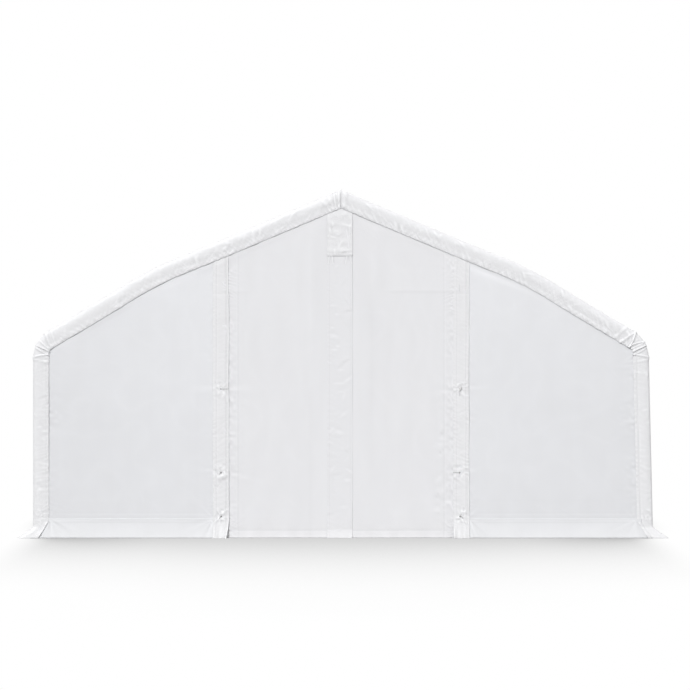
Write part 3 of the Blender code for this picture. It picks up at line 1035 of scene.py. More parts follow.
# %% Side walls
FLARE_TOP = 0.15
SKIRT_FLARE = 0.20
WALL_SAG = 0.030
WALL_FREE = (0.12, 2.29)
RIGHT_LEAN = 0.055
GROUND_CLEAR = 0.002
WALL_SKIRT_SEAM = 0.32


def flare(z, top=FLARE_TOP):
    """The share of the skirt's reach at this height."""
    return near_ground(z, top) ** 1.15


def wall_lean(side, z):
    """The photograph's right wall stands out a little towards the ground."""
    return (RIGHT_LEAN if side > 0 else 0.0) * near_ground(z, SHOULDER_Z)


def side_wall(side):
    seed = 60 if side > 0 else 80
    s_values = spaced(GROUND_CLEAR, SEAM_S + 0.05, 0.055, (0.0, WALL_SKIRT_SEAM), 0.022, 0.3)
    s, y = np.meshgrid(s_values, along_length(), indexing="ij")
    x, z = outline(s, 0.003 + 0.004 * np.clip((s - SEAM_S + 0.05) / 0.05, 0.0, 1.0))
    nx, nz = outline_normal(s)
    hang = between(s, *WALL_FREE)
    height = -WALL_SAG * bay_sag(y) * hang
    height += 0.006 * waves(y, s, 0.5, 1.2, seed) * hang
    height += 0.004 * (crest(y, s, 0.5, 1.1, seed + 1) - 0.4) * hang
    height += 0.004 * strokes(y, s, 90, seed + 2, 0.35, 0.045, 1.3, 0.5) * band_mask(s, 0.1, 2.3, 0.2)
    loose = flare(z)
    height += (0.010 * waves(y, s, 0.2, 0.5, seed + 3) + 0.005 * crest(y, s, 0.3, 0.3, seed + 4)) * loose
    height += 0.0015 * band_mask(s, WALL_SKIRT_SEAM - 0.02, WALL_SKIRT_SEAM + 0.02, 0.008)
    reach = SKIRT_FLARE * loose + wall_lean(side, z) + height * nx
    points = np.stack([side * (x + reach), y, z + height * nz * (z > SHOULDER_Z)], axis=-1)
    uv = np.stack([y, s], axis=-1)
    hand = "right" if side > 0 else "left"
    name, node = f"side_wall_cloth_{hand}", f"side_wall_{hand}"
    make_sheet(name, points, uv, height, (side, 0, 0), wall_cloth, (node,))


for side in SIDES:
    side_wall(side)
print(made_sheets[-2:])

# %% [markdown]
# ## The bands on the corner posts
#
# The side wall's end is folded round the corner post in the same way. Seen from the front it is
# an upright band with level crinkles, and its foot runs out into a pointed flap on the ground,
# whose inner edge curves away from the gable and lifts off it.

# %% Corner bands and their flaps
FLAP_LEAN = 0.03
FLAP_TOP = 0.24
FLAP_SWEEP = 0.135


def corner_band(side, end):
    seed = seed_for(side, end, 100)
    hand = hand_of(side, end)
    rows = spaced(GROUND_CLEAR, SEAM_S + 0.06, 0.015, (0.0, 0.3, SEAM_S), 0.0085, 0.18)
    s, v = band_grid(rows, WALL_BAND)
    inset, out, up_inset, up_out = wrap_profile(v, WALL_BAND)
    front = band_mask(v, -0.1, WALL_BAND - 0.01, 0.05)
    soft_edge = 0.35 if hand == "right" else 1.0
    height = 0.001 + 0.0045 * soft_edge * np.exp(-v / 0.05)
    height += 0.0035 * puckers(s, v, 0.08, 0.14, seed, 0.25) * front
    height += 0.003 * strokes(s, v, 60, seed, 0.08, 0.018, math.pi / 2, 0.45) * front
    height += 0.003 * waves(s, v, 0.28, 0.14, seed + 2) * front
    height += shoulder_gathers(s, v, seed + 3)
    height += set_folds(s - SEAM_S, v, CORNER_FOLDS, -0.05, 0.30)
    strap = (0.22, 0.34, 0.02, 0.20)
    height += 0.004 * strokes(s, v, 16, seed + 4, 0.04, 0.012, math.pi / 2, 0.7, strap) * front
    height -= 0.004 * band_mask(s, SEAM_S - 0.02, 9.0, 0.02)
    height += 0.0012 * band_mask(v, -0.02, 0.03, 0.006)
    if hand == "right":
        height -= 0.004 * band_mask(v, 0.035, 0.055, 0.02) * front
    height = kept_above(height, 0.0)
    x, z = outline(s, inset)
    loose = flare(z)
    nx, nz = outline_normal(s)
    lift = -up_inset * height
    outer_share = band_mask(v, 0.09, 9.0, 0.14)
    swept = FLAP_SWEEP * flare(z, FLAP_TOP)
    spread = swept + outer_share * (SKIRT_FLARE * loose - swept) + wall_lean(side, z)
    x = side * (x + spread + (lift + corner_cut(s, v)) * nx)
    z = z + (lift + corner_cut(s, v)) * nz * (z > SHOULDER_Z)
    flap = 0.014 * np.exp(-v / 0.04) * band_mask(z, 0.01, 0.20, 0.06)
    out = out + up_out * (height + flap) + FLAP_LEAN * loose
    node = f"side_wall_{hand}"
    gable_sheet(end, f"corner_band_{hand}", (x, z), out, (s, v), height, trim_cloth, node)


on_both_gables(corner_band)

# %% [markdown]
# ## Gable panels
#
# Beside the door the gable is one flat panel on each side, stretched between the corner post, the
# rafters and the gable post. It is nearly smooth: broad shallow swells, small level puckers along
# the posts, pulls towards the ties, and fans of folds above the ends of its skirt.

# %% Panels beside the door
PANEL_OUT = 0.032
TIE_HEIGHTS = (1.94, 0.856, 0.28)
PANEL_TOP_INSET = 0.05


def gable_grid(columns, bottom, row_step, fine_reach, top_inset=PANEL_TOP_INSET, fine=()):
    """(x, z) grids of a piece that reaches from bottom to the inset outline above it.

    The rows are level up to near the lowest place of the roof, then they fan out."""
    tops = roof_height(columns, top_inset)
    level, tallest = float(tops.min()) - 0.12, float(tops.max())
    rows = spaced(bottom, tallest, row_step, (bottom, *fine), row_step / 2.5, fine_reach)
    x, z = np.meshgrid(columns, rows, indexing="ij")
    share = np.clip((z - level) / (tallest - level), 0.0, 1.0)
    return x, np.where(z < level, z, level + share * (roof_height(x, top_inset) - level))


def clear_of_band(x, z):
    """1 on the open gable, falling to 0 before the roof band, which lies over everything."""
    return band_mask(roof_height(x, 0.0) - z, ROOF_BAND + 0.055, 99.0, 0.09)


def gable_panel(side, end):
    seed = seed_for(side, end, 140)
    inner, outer = ZIP_X, HALF_WIDTH - PANEL_TOP_INSET - 0.001
    columns = spaced(inner, outer, 0.045, (inner, outer), 0.016, 0.32)
    x, z = gable_grid(columns, SKIRT_Z - 0.01, 0.04, 0.25)
    height = 0.006 * waves(x, z, 1.3, 1.1, seed)
    height += 0.0008 * waves(x, z, 0.33, 0.4, seed + 1)
    height += 0.0004 * crest(x, z, 0.5, 0.45, seed + 2)
    uneven = np.clip(0.6 + waves(0 * x, z, 1.0, 0.35, seed + 13), 0.1, 1.3)
    height += 0.004 * puckers(z, outer - 0.16 - x, 0.10, 0.09, seed + 3, 0.3) * uneven
    height += 0.0015 * puckers(z, x - inner - 0.12, 0.05, 0.05, seed + 4, 0.2)
    for i, tie_z in enumerate(TIE_HEIGHTS):
        height += pull(x, z, (DOOR_EDGE_X + 0.03, tie_z), 0.13, 5, 0.003, seed + 5 + i)
    for at_x in (inner + 0.1, outer - 0.15):
        height += pull(x, z, (at_x, SKIRT_Z), 0.2, 4, 0.0013, seed + 9, 0.3, 2.4)
    height *= clear_of_band(x, z)
    height += 0.0006 * band_mask(z, SKIRT_Z, SKIRT_Z + 0.08, 0.012)
    hand = hand_of(side, end)
    piece, node, post = f"panel_cloth_{hand}", f"{end}_panel_{hand}", f"{end}_gable_post_{hand}"
    places = (side * x, z)
    gable_sheet(end, piece, places, PANEL_OUT + height, (x, z), height, panel_cloth, node, rests_on=(post,))


on_both_gables(gable_panel)

# %% [markdown]
# ## Door panels
#
# Each half of the door reaches from the centre zip to the side zip and from the ground to the
# ridge. The cloth is slack enough for the header tube behind it to press a faint level line into
# it, the sewn side zip puckers its edge, and a hem along the ground catches the light.

# %% Doors
DOOR_HEM = 0.10
DOOR_SIDE_HEM = 0.20


def door_panel(side, end):
    seed = seed_for(side, end, 180)
    inner, outer = 0.0, ZIP_X
    columns = spaced(inner, outer, 0.04, (outer,), 0.012, 0.3)
    x, z = gable_grid(columns, GROUND_CLEAR, 0.036, 0.28, fine=(HEADER_Z,))
    height = 0.005 * waves(x, z, 0.9, 1.2, seed)
    height += 0.0006 * waves(x, z, 0.25, 0.5, seed + 1)
    height += 0.0003 * crest(x, z, 0.35, 0.5, seed + 2)
    uneven = np.clip(0.7 + waves(0 * x, z, 1.0, 0.4, seed + 13), 0.15, 1.3)
    height += 0.006 * puckers(z, outer - 0.09 - x, 0.05, 0.07, seed + 3, 0.3) * uneven
    height += 0.0012 * band_mask(x, outer - DOOR_SIDE_HEM, 9.0, 0.01)
    height *= clear_of_band(x, z) * np.clip((x - 0.15) / 0.25, 0.08, 1.0)
    above = z - HEADER_Z - 0.01 * np.sin(2 * x)
    pressed = 0.0026 / (1 + np.exp(-above / 0.009)) * np.exp(-np.maximum(above, 0) / 0.25)
    height += pressed * band_mask(x, 0.62 if side > 0 else 1.25, 2.0, 0.3)
    for i, tie_z in enumerate(TIE_HEIGHTS):
        height += pull(x, z, (DOOR_EDGE_X - 0.05, tie_z), 0.13, 6, 0.004, seed + 5 + i)
    if side > 0:
        beside_cover = (1.24, 1.46, 0.30, 1.50)
        height += 0.0014 * strokes(x, z, 34, seed + 12, 0.08, 0.018, 0.5, 0.5, beside_cover)
    height += pull(x, z, (DOOR_EDGE_X - 0.09, 0.10), 0.16, 5, 0.003, seed + 9, 1.8, 1.6)
    height += 0.0015 * band_mask(z, -0.1, DOOR_HEM, 0.012) + 0.011 * near_ground(z, DOOR_HEM) ** 1.3
    height += 0.002 * waves(x, z, 0.16, 0.4, seed + 10) * near_ground(z, 0.2)
    hand = hand_of(side, end)
    piece, node, header = f"door_cloth_{hand}", f"{end}_door_{hand}", f"{end}_door_header"
    places = (side * x, z)
    gable_sheet(end, piece, places, PANEL_OUT + height, (x, z), height, door_cloth, node, rests_on=(header,))


on_both_gables(door_panel)

# %% [markdown]
# ## Gable skirts
#
# Below each panel a strip of cloth hangs to the ground. It leans forward a little, so it is lit
# more than the panel, and it gathers towards the zip cover at one end and the corner flap at the
# other.

# %% Skirts
SKIRT_LEAN = 0.030
SKIRT_STRETCH = math.hypot(1, SKIRT_LEAN / SKIRT_Z)


def gable_skirt(side, end):
    seed = seed_for(side, end, 220)
    x_values = spaced(DOOR_EDGE_X + 0.03, HALF_WIDTH - 0.10, 0.03, (1.6, 3.8), 0.016, 0.25)
    z_values = spaced(GROUND_CLEAR, SKIRT_Z + 0.012, 0.016, (SKIRT_Z,), 0.006, 0.02)
    x, z = np.meshgrid(x_values, z_values, indexing="ij")
    down = near_ground(z, SKIRT_Z)
    height = 0.004 + 0.005 * waves(x, z, 0.4, 0.3, seed) * down**0.5
    far_end = HALF_WIDTH - (0.22 if side < 0 else 0.16)
    for at_x, first_way in ((DOOR_EDGE_X + 0.10, 4.8), (far_end, 3.3)):
        height += pull(x, z, (at_x, SKIRT_Z + 0.01), 0.24, 5, 0.009, seed + 3, first_way, 1.3) * down**0.3
    height += 0.0012 * band_mask(z, SKIRT_Z - 0.025, SKIRT_Z + 0.1, 0.005)
    out = PANEL_OUT + 0.003 + SKIRT_LEAN * down**1.5 + height
    spread = 0.09 * down**2 * np.clip((x - 3.3) / 0.6, 0, 1)
    hand = hand_of(side, end)
    piece, node = f"skirt_cloth_{hand}", f"{end}_skirt_{hand}"
    places, flat = (side * (x + spread), z), (x, z * SKIRT_STRETCH)
    gable_sheet(end, piece, places, out, flat, height, skirt_cloth, node)


on_both_gables(gable_skirt)

# %% [markdown]
# ## Zip covers
#
# A narrow flap hangs over each zip so that rain can't get in. The two at the sides of the door are
# tied down at three heights, so they show level puckers, pulls at the ties and two rows of
# stitching. The centre flap lies flatter, with a hood over the top of its zip.

# %% Side covers
STRIP_OUT = 0.036
COVER_UNDER = PANEL_OUT + 0.0015
COVER_HEM = 0.045


def upright_strip(left, right, step, fine_columns, fine_reach, fine_rows=()):
    """(x, z) grids of a narrow cover from the ground up to the roof band."""
    columns = spaced(left, right, 0.012, fine_columns, 0.0045, 0.008)
    return gable_grid(columns, GROUND_CLEAR, step, fine_reach, 0.16, fine_rows)


def side_cover(side, end):
    seed = seed_for(side, end, 260)
    left, right = DOOR_EDGE_X - STRIP_HALF, DOOR_EDGE_X + STRIP_HALF
    lines = (left + COVER_HEM, right - COVER_HEM, left, right)
    x, z = upright_strip(left, right, 0.017, lines, 0.35)
    across = x - DOOR_EDGE_X
    busy = 0.5 + 0.5 * band_mask(z, 0.2, 1.7, 0.5)
    near_ties = sum(bell(z - tie_z, 0.13) for tie_z in TIE_HEIGHTS)
    height = 0.0015 + 0.003 * waves(x, z, 0.2, 0.25, seed + 1)
    height += 0.003 * puckers(z, x - left, 0.06, 0.10, seed, 0.3) * busy
    height += 0.003 * puckers(z, right - x, 0.055, 0.10, seed + 3, -0.4) * busy
    height += 0.005 * strokes(x, z, 60, seed + 2, 0.055, 0.014, 0.1, 0.5) * busy * (0.3 + near_ties)
    calm = band_mask(z, 0.95, 2.9, 0.4) if side > 0 else 0 * z
    at_right = bell(across * side - STRIP_HALF, 0.016)
    height += 0.008 * (1 - calm) * at_right
    for line, depth in ((left + COVER_HEM, 0.0006), (right - COVER_HEM, 0.0012)):
        height -= depth * bell(x - line, 0.007)
    for i, tie_z in enumerate(TIE_HEIGHTS):
        away = np.hypot(across, z - tie_z)
        height -= 0.005 * bell(away, 0.025)
        height += pull(x, z, (DOOR_EDGE_X, tie_z), 0.07, 6, 0.010, seed + 4 + i)
        around = (DOOR_EDGE_X - 0.08, DOOR_EDGE_X + 0.08, tie_z - 0.09, tie_z + 0.09)
        creases = strokes(x, z, 9, seed + 20 + i, 0.045, 0.010, 0.6, 0.9, around)
        height += 0.010 * creases * np.clip(away / 0.03, 0, 1)
    step_down = band_mask(z, 3.17, 6.0, 0.02)
    height -= 0.0015 * step_down
    narrowed = 1 - 0.10 * step_down * (across < 0)
    down = near_ground(z, 0.30)
    height += (0.008 if side < 0 else 0.004) * down * waves(x, z, 0.06, 0.5, seed + 8) + 0.042 * down**1.4
    height += 0.035 * np.exp(-(across + STRIP_HALF) / 0.025) * near_ground(z, 0.14)
    sway = 0.006 * waves(0 * x, z, 1.0, 0.6, seed + 9)
    tuck = (0.030 if side < 0 else 0.010) * near_ground(z, 0.22) ** 1.2
    place_x = DOOR_EDGE_X + across * narrowed + sway + tuck * np.clip(0.5 - across / STRIP_HALF / 2, 0, 1)
    laid = clear_of_band(x, z) * (1 - 0.5 * calm * at_right)
    out = COVER_UNDER + (STRIP_OUT + height - COVER_UNDER) * laid
    hand = hand_of(side, end)
    piece, node = f"zip_cover_cloth_{hand}", f"{end}_zip_cover_{hand}"
    gable_sheet(end, piece, (side * place_x, z), out, (x, z), height, trim_cloth, node, held="hung")


# %% Centre cover and its hood
def centre_cover(end):
    seed = SEEDS[end] + 300
    pleats = (CENTRE_LEFT + 0.03, CENTRE_LEFT + 0.062, CENTRE_RIGHT - 0.075, CENTRE_RIGHT - 0.03)
    lines = (CENTRE_LEFT, *pleats, CENTRE_RIGHT)
    x, z = upright_strip(CENTRE_LEFT, CENTRE_RIGHT, 0.022, lines, 0.12, (HOOD_Z - 0.06,))
    height = 0.001 + 0.003 * waves(x, z, 0.25, 0.5, seed + 1)
    height += 0.0015 * puckers(z, x - CENTRE_LEFT, 0.07, 0.12, seed, 0.3)
    height += 0.002 * strokes(x, z, 40, seed + 2, 0.08, 0.018, 0.2, 0.5)
    height = np.maximum(height, 0.0)
    for i, pleat in enumerate(pleats):
        from_pleat = x - pleat - 0.15 * (-1) ** i * (z - HOOD_Z)
        height += 0.0045 * bell(from_pleat, 0.007) * band_mask(z, HOOD_Z - 0.10, 9.0, 0.03)
    height += 0.022 * near_ground(z, 0.12) ** 1.3
    out = COVER_UNDER + (height - 0.0002) * clear_of_band(x, z)
    node = f"{end}_zip_cover_centre"
    gable_sheet(end, "centre_cover_cloth", (x, z), out, (x, z), height, door_cloth, node, held="hung")


def zip_hood(end):
    seed = SEEDS[end] + 320
    left, right = CENTRE_LEFT - 0.001, CENTRE_RIGHT + 0.001
    columns = spaced(left, right, 0.011, (left, right), 0.005, 0.012)
    x, z = gable_grid(columns, HOOD_Z, 0.012, 0.03, 0.17)
    height = 0.001 + 0.004 * waves(x, z, 0.12, 0.09, seed)
    height += 0.005 * strokes(x, z, 26, seed + 1, 0.07, 0.018, 0.4, 0.7)
    height = kept_above(height, 0.0) * np.clip((z - HOOD_Z) / 0.06, 0.1, 1.0)
    height += 0.001 * np.exp(-(z - HOOD_Z) / 0.05)
    height += 0.0008 * band_mask(z, HOOD_Z - 0.1, HOOD_Z + 0.03, 0.006)
    out = COVER_UNDER + 0.0015 + (STRIP_OUT + 0.0005 + height - COVER_UNDER) * clear_of_band(x, z)
    node = f"{end}_zip_hood"
    gable_sheet(end, "zip_hood_cloth", (x, z), out, (x, z), height, trim_cloth, node, held="hung")


for end in ENDS:
    for side in SIDES:
        side_cover(side, end)
    centre_cover(end)
    zip_hood(end)
print(made_sheets[-8:])

# %% [markdown]
# ## Stitches
#
# Hems, flaps and covers are sewn with rows of long stitches. A stitch is a small bar of thread
# that repeats along a seam, so Geometry Nodes set it: the script finds each seam's line on the
# cloth, and the tree puts a bar every few millimetres along it, turned to the line and lying on
# the cloth. One tree sews every seam on the tent.


# %% Seam lines on the cloth
def surface_normals(points, outward):
    """The outward normal at every point of a grid."""
    across, along = np.gradient(points, axis=0), np.gradient(points, axis=1)
    normal = np.cross(across, along)
    if (normal.reshape(-1, 3) @ outward).sum() < 0:
        normal = -normal
    return normal / np.maximum(np.linalg.norm(normal, axis=-1, keepdims=True), 1e-12)


def seam_line(name, axis, place, low=-np.inf, high=np.inf):
    """Points and normals on a sheet where its flat coordinate axis equals place."""
    points, uv, outward = cloth_grids[name]
    both = np.concatenate([points, surface_normals(points, outward), uv], axis=-1)
    if abs(uv[-1, 0, axis] - uv[0, 0, axis]) > abs(uv[0, -1, axis] - uv[0, 0, axis]):
        both = both.transpose(1, 0, 2)
    line = []
    for row in both:
        flat = row[:, 6 + axis]
        if flat.min() <= place <= flat.max():
            line.append([np.interp(place, flat, row[:, k]) for k in range(8)])
    line = np.array(line)
    run = line[:, 7 - axis]
    line = line[(run >= low) & (run <= high)]
    return line[:, :3], line[:, 3:6]


def seams_mesh(name, lines, lift):
    """Every seam as a chain of edges, lifted off the cloth, with its normals."""
    places, normals, edges = [], [], []
    for points, outward in lines:
        start = sum(len(p) for p in places)
        edges += [(start + i, start + i + 1) for i in range(len(points) - 1)]
        places.append(points + lift * outward)
        normals.append(outward)
    mesh = bpy.data.meshes.new(name)
    mesh.from_pydata(np.concatenate(places).tolist(), edges, [])
    facing = mesh.attributes.new("cloth_normal", "FLOAT_VECTOR", "POINT")
    facing.data.foreach_set("vector", np.concatenate(normals).astype(np.float32).ravel())
    return mesh


# %% The tree that repeats one shape along lines
def node_tree(name, sizes):
    """A geometry tree with named number inputs, as {name: value}, and a material input."""
    inputs = {"Geometry": "Geometry", **sizes, "Material": "Material"}
    return new_tree(name, "GeometryNodeTree", inputs, {"Geometry": "Geometry"})


def finish_tree(tree, given, out, made):
    """Real geometry in the given material as the tree's result."""
    real = add(tree, "GeometryNodeRealizeInstances", {"Geometry": made}).outputs[0]
    painted = {"Geometry": real, "Material": given.outputs["Material"]}
    feed(tree, out, {"Geometry": add(tree, "GeometryNodeSetMaterial", painted).outputs[0]})


def stored_direction(tree, name):
    """The direction that every point carries under this name."""
    stored = add(tree, "GeometryNodeInputNamedAttribute", {"Name": name}, data_type="FLOAT_VECTOR")
    return stored.outputs["Attribute"]


def size_vector(tree, given, *labels):
    """Three of a tree's inputs as one vector."""
    axes = {axis: given.outputs[label] for axis, label in zip("XYZ", labels)}
    return add(tree, "ShaderNodeCombineXYZ", axes).outputs[0]


def stitch_tree():
    """A bar of thread every pitch along each line, a little uneven."""
    sizes = {"Pitch": 0.012, "Length": 0.008, "Width": 0.0022, "Height": 0.0012, "Seed": 7}
    tree, given, out = node_tree("stitch_rows", sizes)
    curve = add(tree, "GeometryNodeMeshToCurve", {"Mesh": given.outputs["Geometry"]}).outputs[0]
    facing = {"Curve": curve, "Normal": stored_direction(tree, "cloth_normal")}
    laid = add(tree, "GeometryNodeSetCurveNormal", facing, mode="FREE").outputs[0]
    steps = {"Curve": laid, "Length": given.outputs["Pitch"]}
    places = add(tree, "GeometryNodeCurveToPoints", steps, mode="LENGTH").outputs
    size = size_vector(tree, given, "Height", "Width", "Length")
    bar = add(tree, "GeometryNodeMeshCube", {"Size": size})
    slack = {"Min": (0.8, 0.8, 0.8), "Max": (1.1, 1.2, 1.1), "Seed": given.outputs["Seed"]}
    uneven = add(tree, "FunctionNodeRandomValue", slack, data_type="FLOAT_VECTOR")
    sewn = {"Points": places["Points"], "Rotation": places["Rotation"]}
    sewn.update({"Instance": bar.outputs["Mesh"], "Scale": uneven.outputs["Value"]})
    put = add(tree, "GeometryNodeInstanceOnPoints", sewn)
    finish_tree(tree, given, out, put.outputs[0])
    return tree


def grown(name, mesh, tree, values, surface):
    """The result of a geometry tree on a mesh, as a finished piece."""
    seed_object = bpy.data.objects.new(name + "_seed", mesh)
    scene.collection.objects.link(seed_object)
    nodes = seed_object.modifiers.new("nodes", "NODES")
    nodes.node_group = tree
    inputs = [item for item in tree.interface.items_tree if item.in_out == "INPUT"]
    sockets = {item.name: item.identifier for item in inputs}
    for label, value in {**values, "Material": surface}.items():
        nodes[sockets[label]] = value
    evaluated = seed_object.evaluated_get(bpy.context.evaluated_depsgraph_get())
    result = bpy.data.meshes.new_from_object(evaluated)
    bpy.data.objects.remove(seed_object)
    result.name = name
    piece = bpy.data.objects.new(name, result)
    scene.collection.objects.link(piece)
    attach(piece, "root")
    print(name, len(result.polygons), "faces")
    return piece


# %% Sew every seam
HEM_ROWS = (0.018, 0.026)
SKIRT_HEM_Z = 0.235

seams = []
for end in ENDS:
    for x in (CENTRE_LEFT + 0.03, CENTRE_RIGHT - 0.03):
        seams.append(seam_line(f"{end}_centre_cover_cloth", 0, x))
    seams.append(seam_line(f"{end}_zip_hood_cloth", 1, HOOD_Z + 0.02))
    for hand in ("left", "right"):
        for row in HEM_ROWS:
            seams.append(seam_line(f"{end}_roof_band_{hand}", 1, row))
            seams.append(seam_line(f"{end}_corner_band_{hand}", 1, row))
        for x in (DOOR_EDGE_X - STRIP_HALF + COVER_HEM, DOOR_EDGE_X + STRIP_HALF - COVER_HEM):
            seams.append(seam_line(f"{end}_zip_cover_cloth_{hand}", 0, x))
        seams.append(seam_line(f"{end}_skirt_cloth_{hand}", 1, SKIRT_HEM_Z * SKIRT_STRETCH))
        seams.append(seam_line(f"{end}_door_cloth_{hand}", 1, DOOR_HEM, 0.0, DOOR_EDGE_X - 0.1))
        seams.append(seam_line(f"{end}_door_cloth_{hand}", 0, ZIP_X - DOOR_SIDE_HEM, DOOR_HEM, HEADER_Z))
for hand in ("left", "right"):
    seams.append(seam_line(f"side_wall_cloth_{hand}", 1, WALL_SKIRT_SEAM - 0.01))
sewn = seams_mesh("stitches", seams, lift=0.0004)
grown("stitches", sewn, stitch_tree(), {"Pitch": 0.013}, thread)
print("seams:", len(seams))

# %% [markdown]
# ## Eyelets, knots and toggles
#
# The walls' skirts are pegged down through pressed steel eyelets, and each side zip cover is held
# by three ties: a cord is knotted through an eyelet, or a toggle holds it, as at the top of one
# cover on each gable. These fittings repeat, so one kind of tree sets them. It puts a shape on
# every vertex it is given, its Z along the cloth's outward direction and its X along the way the
# fitting points. Only the shape differs.


# %% A tree that sets a shape on every place
def on_cloth(name, u, v):
    """The point of a sheet nearest to a flat place, and the outward direction there."""
    points, uv, outward = cloth_grids[name]
    away = np.hypot(uv[..., 0] - u, uv[..., 1] - v)
    at = np.unravel_index(away.argmin(), away.shape)
    return points[at], surface_normals(points, outward)[at]


def places_mesh(name, places):
    """Bare vertices, each with the outward direction and the way its fitting points."""
    mesh = bpy.data.meshes.new(name)
    mesh.from_pydata([list(place) for place, _, _ in places], [], [])
    for label, column in (("facing", 1), ("pointing", 2)):
        values = np.array([place[column] for place in places], np.float32)
        mesh.attributes.new(label, "FLOAT_VECTOR", "POINT").data.foreach_set("vector", values.ravel())
    return mesh


def circle(tree, radius, corners):
    """A circle as a curve."""
    inputs = {"Radius": radius, "Resolution": corners}
    return add(tree, "GeometryNodeCurvePrimitiveCircle", inputs).outputs[0]


def swept(tree, curve, profile, caps=False):
    """A profile drawn along a curve."""
    inputs = {"Curve": curve, "Profile Curve": profile, "Fill Caps": caps}
    return add(tree, "GeometryNodeCurveToMesh", inputs).outputs["Mesh"]


def ring(tree, given):
    """A round bar bent to a ring."""
    rim = circle(tree, given.outputs["Rim"], 6)
    return swept(tree, circle(tree, given.outputs["Radius"], 14), rim)


def pebble(tree, given):
    """A ball squeezed to the given length, width and height."""
    ball = add(tree, "GeometryNodeMeshUVSphere", {"Segments": 12, "Rings": 8, "Radius": 0.5})
    size = size_vector(tree, given, "Length", "Width", "Height")
    squeezed = {"Geometry": ball.outputs["Mesh"], "Scale": size}
    return add(tree, "GeometryNodeTransform", squeezed).outputs[0]


def fitting_tree(name, shape, sizes):
    """A tree that sets a shape on every vertex, turned to the two directions it carries."""
    tree, given, out = node_tree(name, sizes)
    facing = {"Vector": stored_direction(tree, "facing")}
    upright = add(tree, "FunctionNodeAlignRotationToVector", facing, axis="Z").outputs["Rotation"]
    pointing = {"Rotation": upright, "Vector": stored_direction(tree, "pointing")}
    turned = add(tree, "FunctionNodeAlignRotationToVector", pointing, axis="X", pivot_axis="Z")
    fitted = {"Points": given.outputs["Geometry"], "Rotation": turned.outputs["Rotation"]}
    fitted["Instance"] = shape(tree, given)
    put = add(tree, "GeometryNodeInstanceOnPoints", fitted)
    finish_tree(tree, given, out, put.outputs[0])
    return tree


# %% Places of the ties on the four side covers
TOP_TIE, MIDDLE_TIE = TIE_HEIGHTS[:2]

ties = []
for end in ENDS:
    turn = 1 if end == "front" else -1
    for side, inward, aside, upward in ((-1, 0.0, 1.0, 0.0), (1, 0.015, 0.45, 0.9)):
        cover = f"{end}_zip_cover_cloth_{hand_of(side, end)}"
        for tie_z in TIE_HEIGHTS:
            point, facing = on_cloth(cover, DOOR_EDGE_X - inward, tie_z)
            pointing = (turn * aside, 0.0, upward)
            ties.append((point + 0.001 * facing, facing, pointing, side, cover, tie_z))
ring_tree = fitting_tree("eyelet", ring, {"Radius": 0.014, "Rim": 0.0032})
tie_sizes = {"Radius": 0.010, "Rim": 0.0022}
tied = places_mesh("ties", [tie[:3] for tie in ties])
grown("tie_eyelets", tied, ring_tree, tie_sizes, eyelet_steel)

# %% A knot on every tie but those that a toggle holds
knots, toggles = [], []
for point, facing, pointing, side, _, tie_z in ties:
    if side > 0 and tie_z == TOP_TIE:
        toggles.append((point + 0.010 * facing, facing, pointing))
    else:
        knots.append((point, facing, pointing))
knot_tree = fitting_tree("pebble", pebble, {"Length": 0.021, "Width": 0.014, "Height": 0.009})
grown("tie_knots", places_mesh("knots", knots), knot_tree, {}, cord_grey)
toggle_sizes = {"Length": 0.070, "Width": 0.020, "Height": 0.016}
grown("tie_toggles", places_mesh("toggles", toggles), knot_tree, toggle_sizes, webbing)

# %% Eyelets in the skirts of the side walls
EYELET_PITCH = 0.5
EYELET_UP = 0.05
ALONG_TENT = (0.0, 1.0, 0.0)

pegged = []
for hand in ("left", "right"):
    for y in np.arange(-HALF_LENGTH + EYELET_PITCH, HALF_LENGTH - 0.2, EYELET_PITCH):
        pegged.append((*on_cloth(f"side_wall_cloth_{hand}", y, EYELET_UP), ALONG_TENT))
holes = places_mesh("skirt_places", pegged)
grown("skirt_eyelets", holes, ring_tree, {}, eyelet_steel)

# %% [markdown]
# ## Cords
#
# Two cords on each gable run from their knot to the edge of the cover, and the others end in a
# short tail. A cord's path is a handful of points over the cloth. The tree turns the path into a
# curve and sweeps a small circle along it.


# %% Sweep the cords
CORD_RADIUS = 0.0024


def cord_tree():
    tree, given, out = node_tree("cord", {"Radius": CORD_RADIUS})
    curve = add(tree, "GeometryNodeMeshToCurve", {"Mesh": given.outputs["Geometry"]}).outputs[0]
    section = circle(tree, given.outputs["Radius"], 6)
    finish_tree(tree, given, out, swept(tree, curve, section, caps=True))
    return tree


def cord_path(cover, from_x, to_x, z, drop=0.0):
    """Points and outward directions over a cover. The last point sinks into the cloth."""
    shares = np.linspace(0.0, 1.0, 9)
    line = [on_cloth(cover, from_x + share * (to_x - from_x), z - drop * share) for share in shares]
    points, facing = (np.array(column) for column in zip(*line))
    points[-1] -= 0.004 * facing[-1]
    return points, facing


cords = []
for *_, side, cover, tie_z in ties:
    if side < 0 and tie_z == TOP_TIE:
        cords.append(cord_path(cover, DOOR_EDGE_X, DOOR_EDGE_X - STRIP_HALF, tie_z))
    elif side > 0 and tie_z == MIDDLE_TIE:
        cords.append(cord_path(cover, DOOR_EDGE_X - 0.01, DOOR_EDGE_X - STRIP_HALF, tie_z - 0.004))
    elif tie_z != TOP_TIE:
        cords.append(cord_path(cover, DOOR_EDGE_X, DOOR_EDGE_X + 0.02, tie_z, 0.028))
grown("tie_cords", seams_mesh("cords", cords, lift=CORD_RADIUS), cord_tree(), {}, cord_grey)

# %% [markdown]
# ## Clamps and bolts on the frame
#
# Each purlin is clamped to each arch by a steel band, and every foot plate has four bolts into the
# ground. They are seen from below and with a door open. The same kind of tree sets them, with a
# flat band and a six-sided head as its shapes.


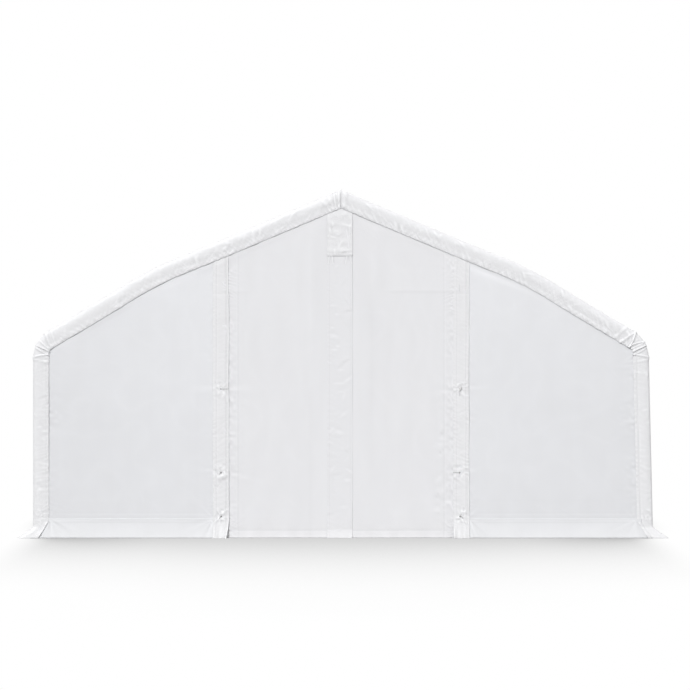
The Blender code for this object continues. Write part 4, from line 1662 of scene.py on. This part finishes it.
# %% Clamps and bolts
PURLIN_RADIUS = 0.021
PLATE_X = HALF_WIDTH - 0.0343
PLATE_TOP = 0.008
HALF_BOLT_SPACING = 0.052
BOLT_SIZES = {"Radius": 0.010, "Height": 0.007}
CLAMP_SIZES = {"Radius": PURLIN_RADIUS + 0.0022, "Thickness": 0.003, "Width": 0.03}


def band(tree, given):
    """A flat strip bent round a tube."""
    sides = {"Width": given.outputs["Thickness"], "Height": given.outputs["Width"]}
    strip = add(tree, "GeometryNodeCurvePrimitiveQuadrilateral", sides).outputs[0]
    return swept(tree, circle(tree, given.outputs["Radius"], 20), strip)


def bolt_head(tree, given):
    sizes = {"Vertices": 6, "Radius": given.outputs["Radius"], "Depth": given.outputs["Height"]}
    return add(tree, "GeometryNodeMeshCylinder", sizes).outputs["Mesh"]


# The direction from each purlin's middle to the arch that it is clamped to
purlins = {"ridge_purlin": np.array([0.0, 0.0, 1.0])}
for side, hand in zip(SIDES, ("left", "right")):
    slope = (side * math.sin(LOWER_PITCH), 0.0, math.cos(LOWER_PITCH))
    purlins[f"knee_purlin_{hand}"] = np.array(slope)
    for kind in ("eave_purlin", "ground_rail"):
        purlins[f"{kind}_{hand}"] = np.array([side, 0.0, 0.0])

clamp_places, bolt_places = [], []
for name, to_arch in purlins.items():
    low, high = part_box(name)
    middle = (np.array(low) + np.array(high)) / 2
    for y in ARCH_YS:
        place = np.array([middle[0], y, middle[2]])
        far_side = place - (PURLIN_RADIUS + 0.006) * to_arch
        clamp_places.append((place, ALONG_TENT, to_arch))
        bolt_places.append((far_side, -to_arch, ALONG_TENT))
for y in ARCH_YS:
    for side in SIDES:
        for dx in (-HALF_BOLT_SPACING, HALF_BOLT_SPACING):
            for dy in (-HALF_BOLT_SPACING, HALF_BOLT_SPACING):
                place = (side * PLATE_X + dx, y + dy, PLATE_TOP + BOLT_SIZES["Height"] / 2)
                bolt_places.append((place, (0.0, 0.0, 1.0), (1.0, 0.0, 0.0)))
for name, places, tree in (
    ("purlin_clamps", clamp_places, fitting_tree("clamp", band, CLAMP_SIZES)),
    ("frame_bolts", bolt_places, fitting_tree("bolt", bolt_head, BOLT_SIZES)),
):
    grown(name, places_mesh(name + "_places", places), tree, {}, tube_steel)

# %% [markdown]
# ## Count the triangles
#
# The last cell counts the triangles of every piece that is shown.

# %% Triangles shown
total = 0
graph = bpy.context.evaluated_depsgraph_get()
for piece in scene.objects:
    if piece.type == "MESH" and not piece.hide_render:
        total += sum(len(p.vertices) - 2 for p in piece.evaluated_get(graph).data.polygons)
print("triangles shown:", total)
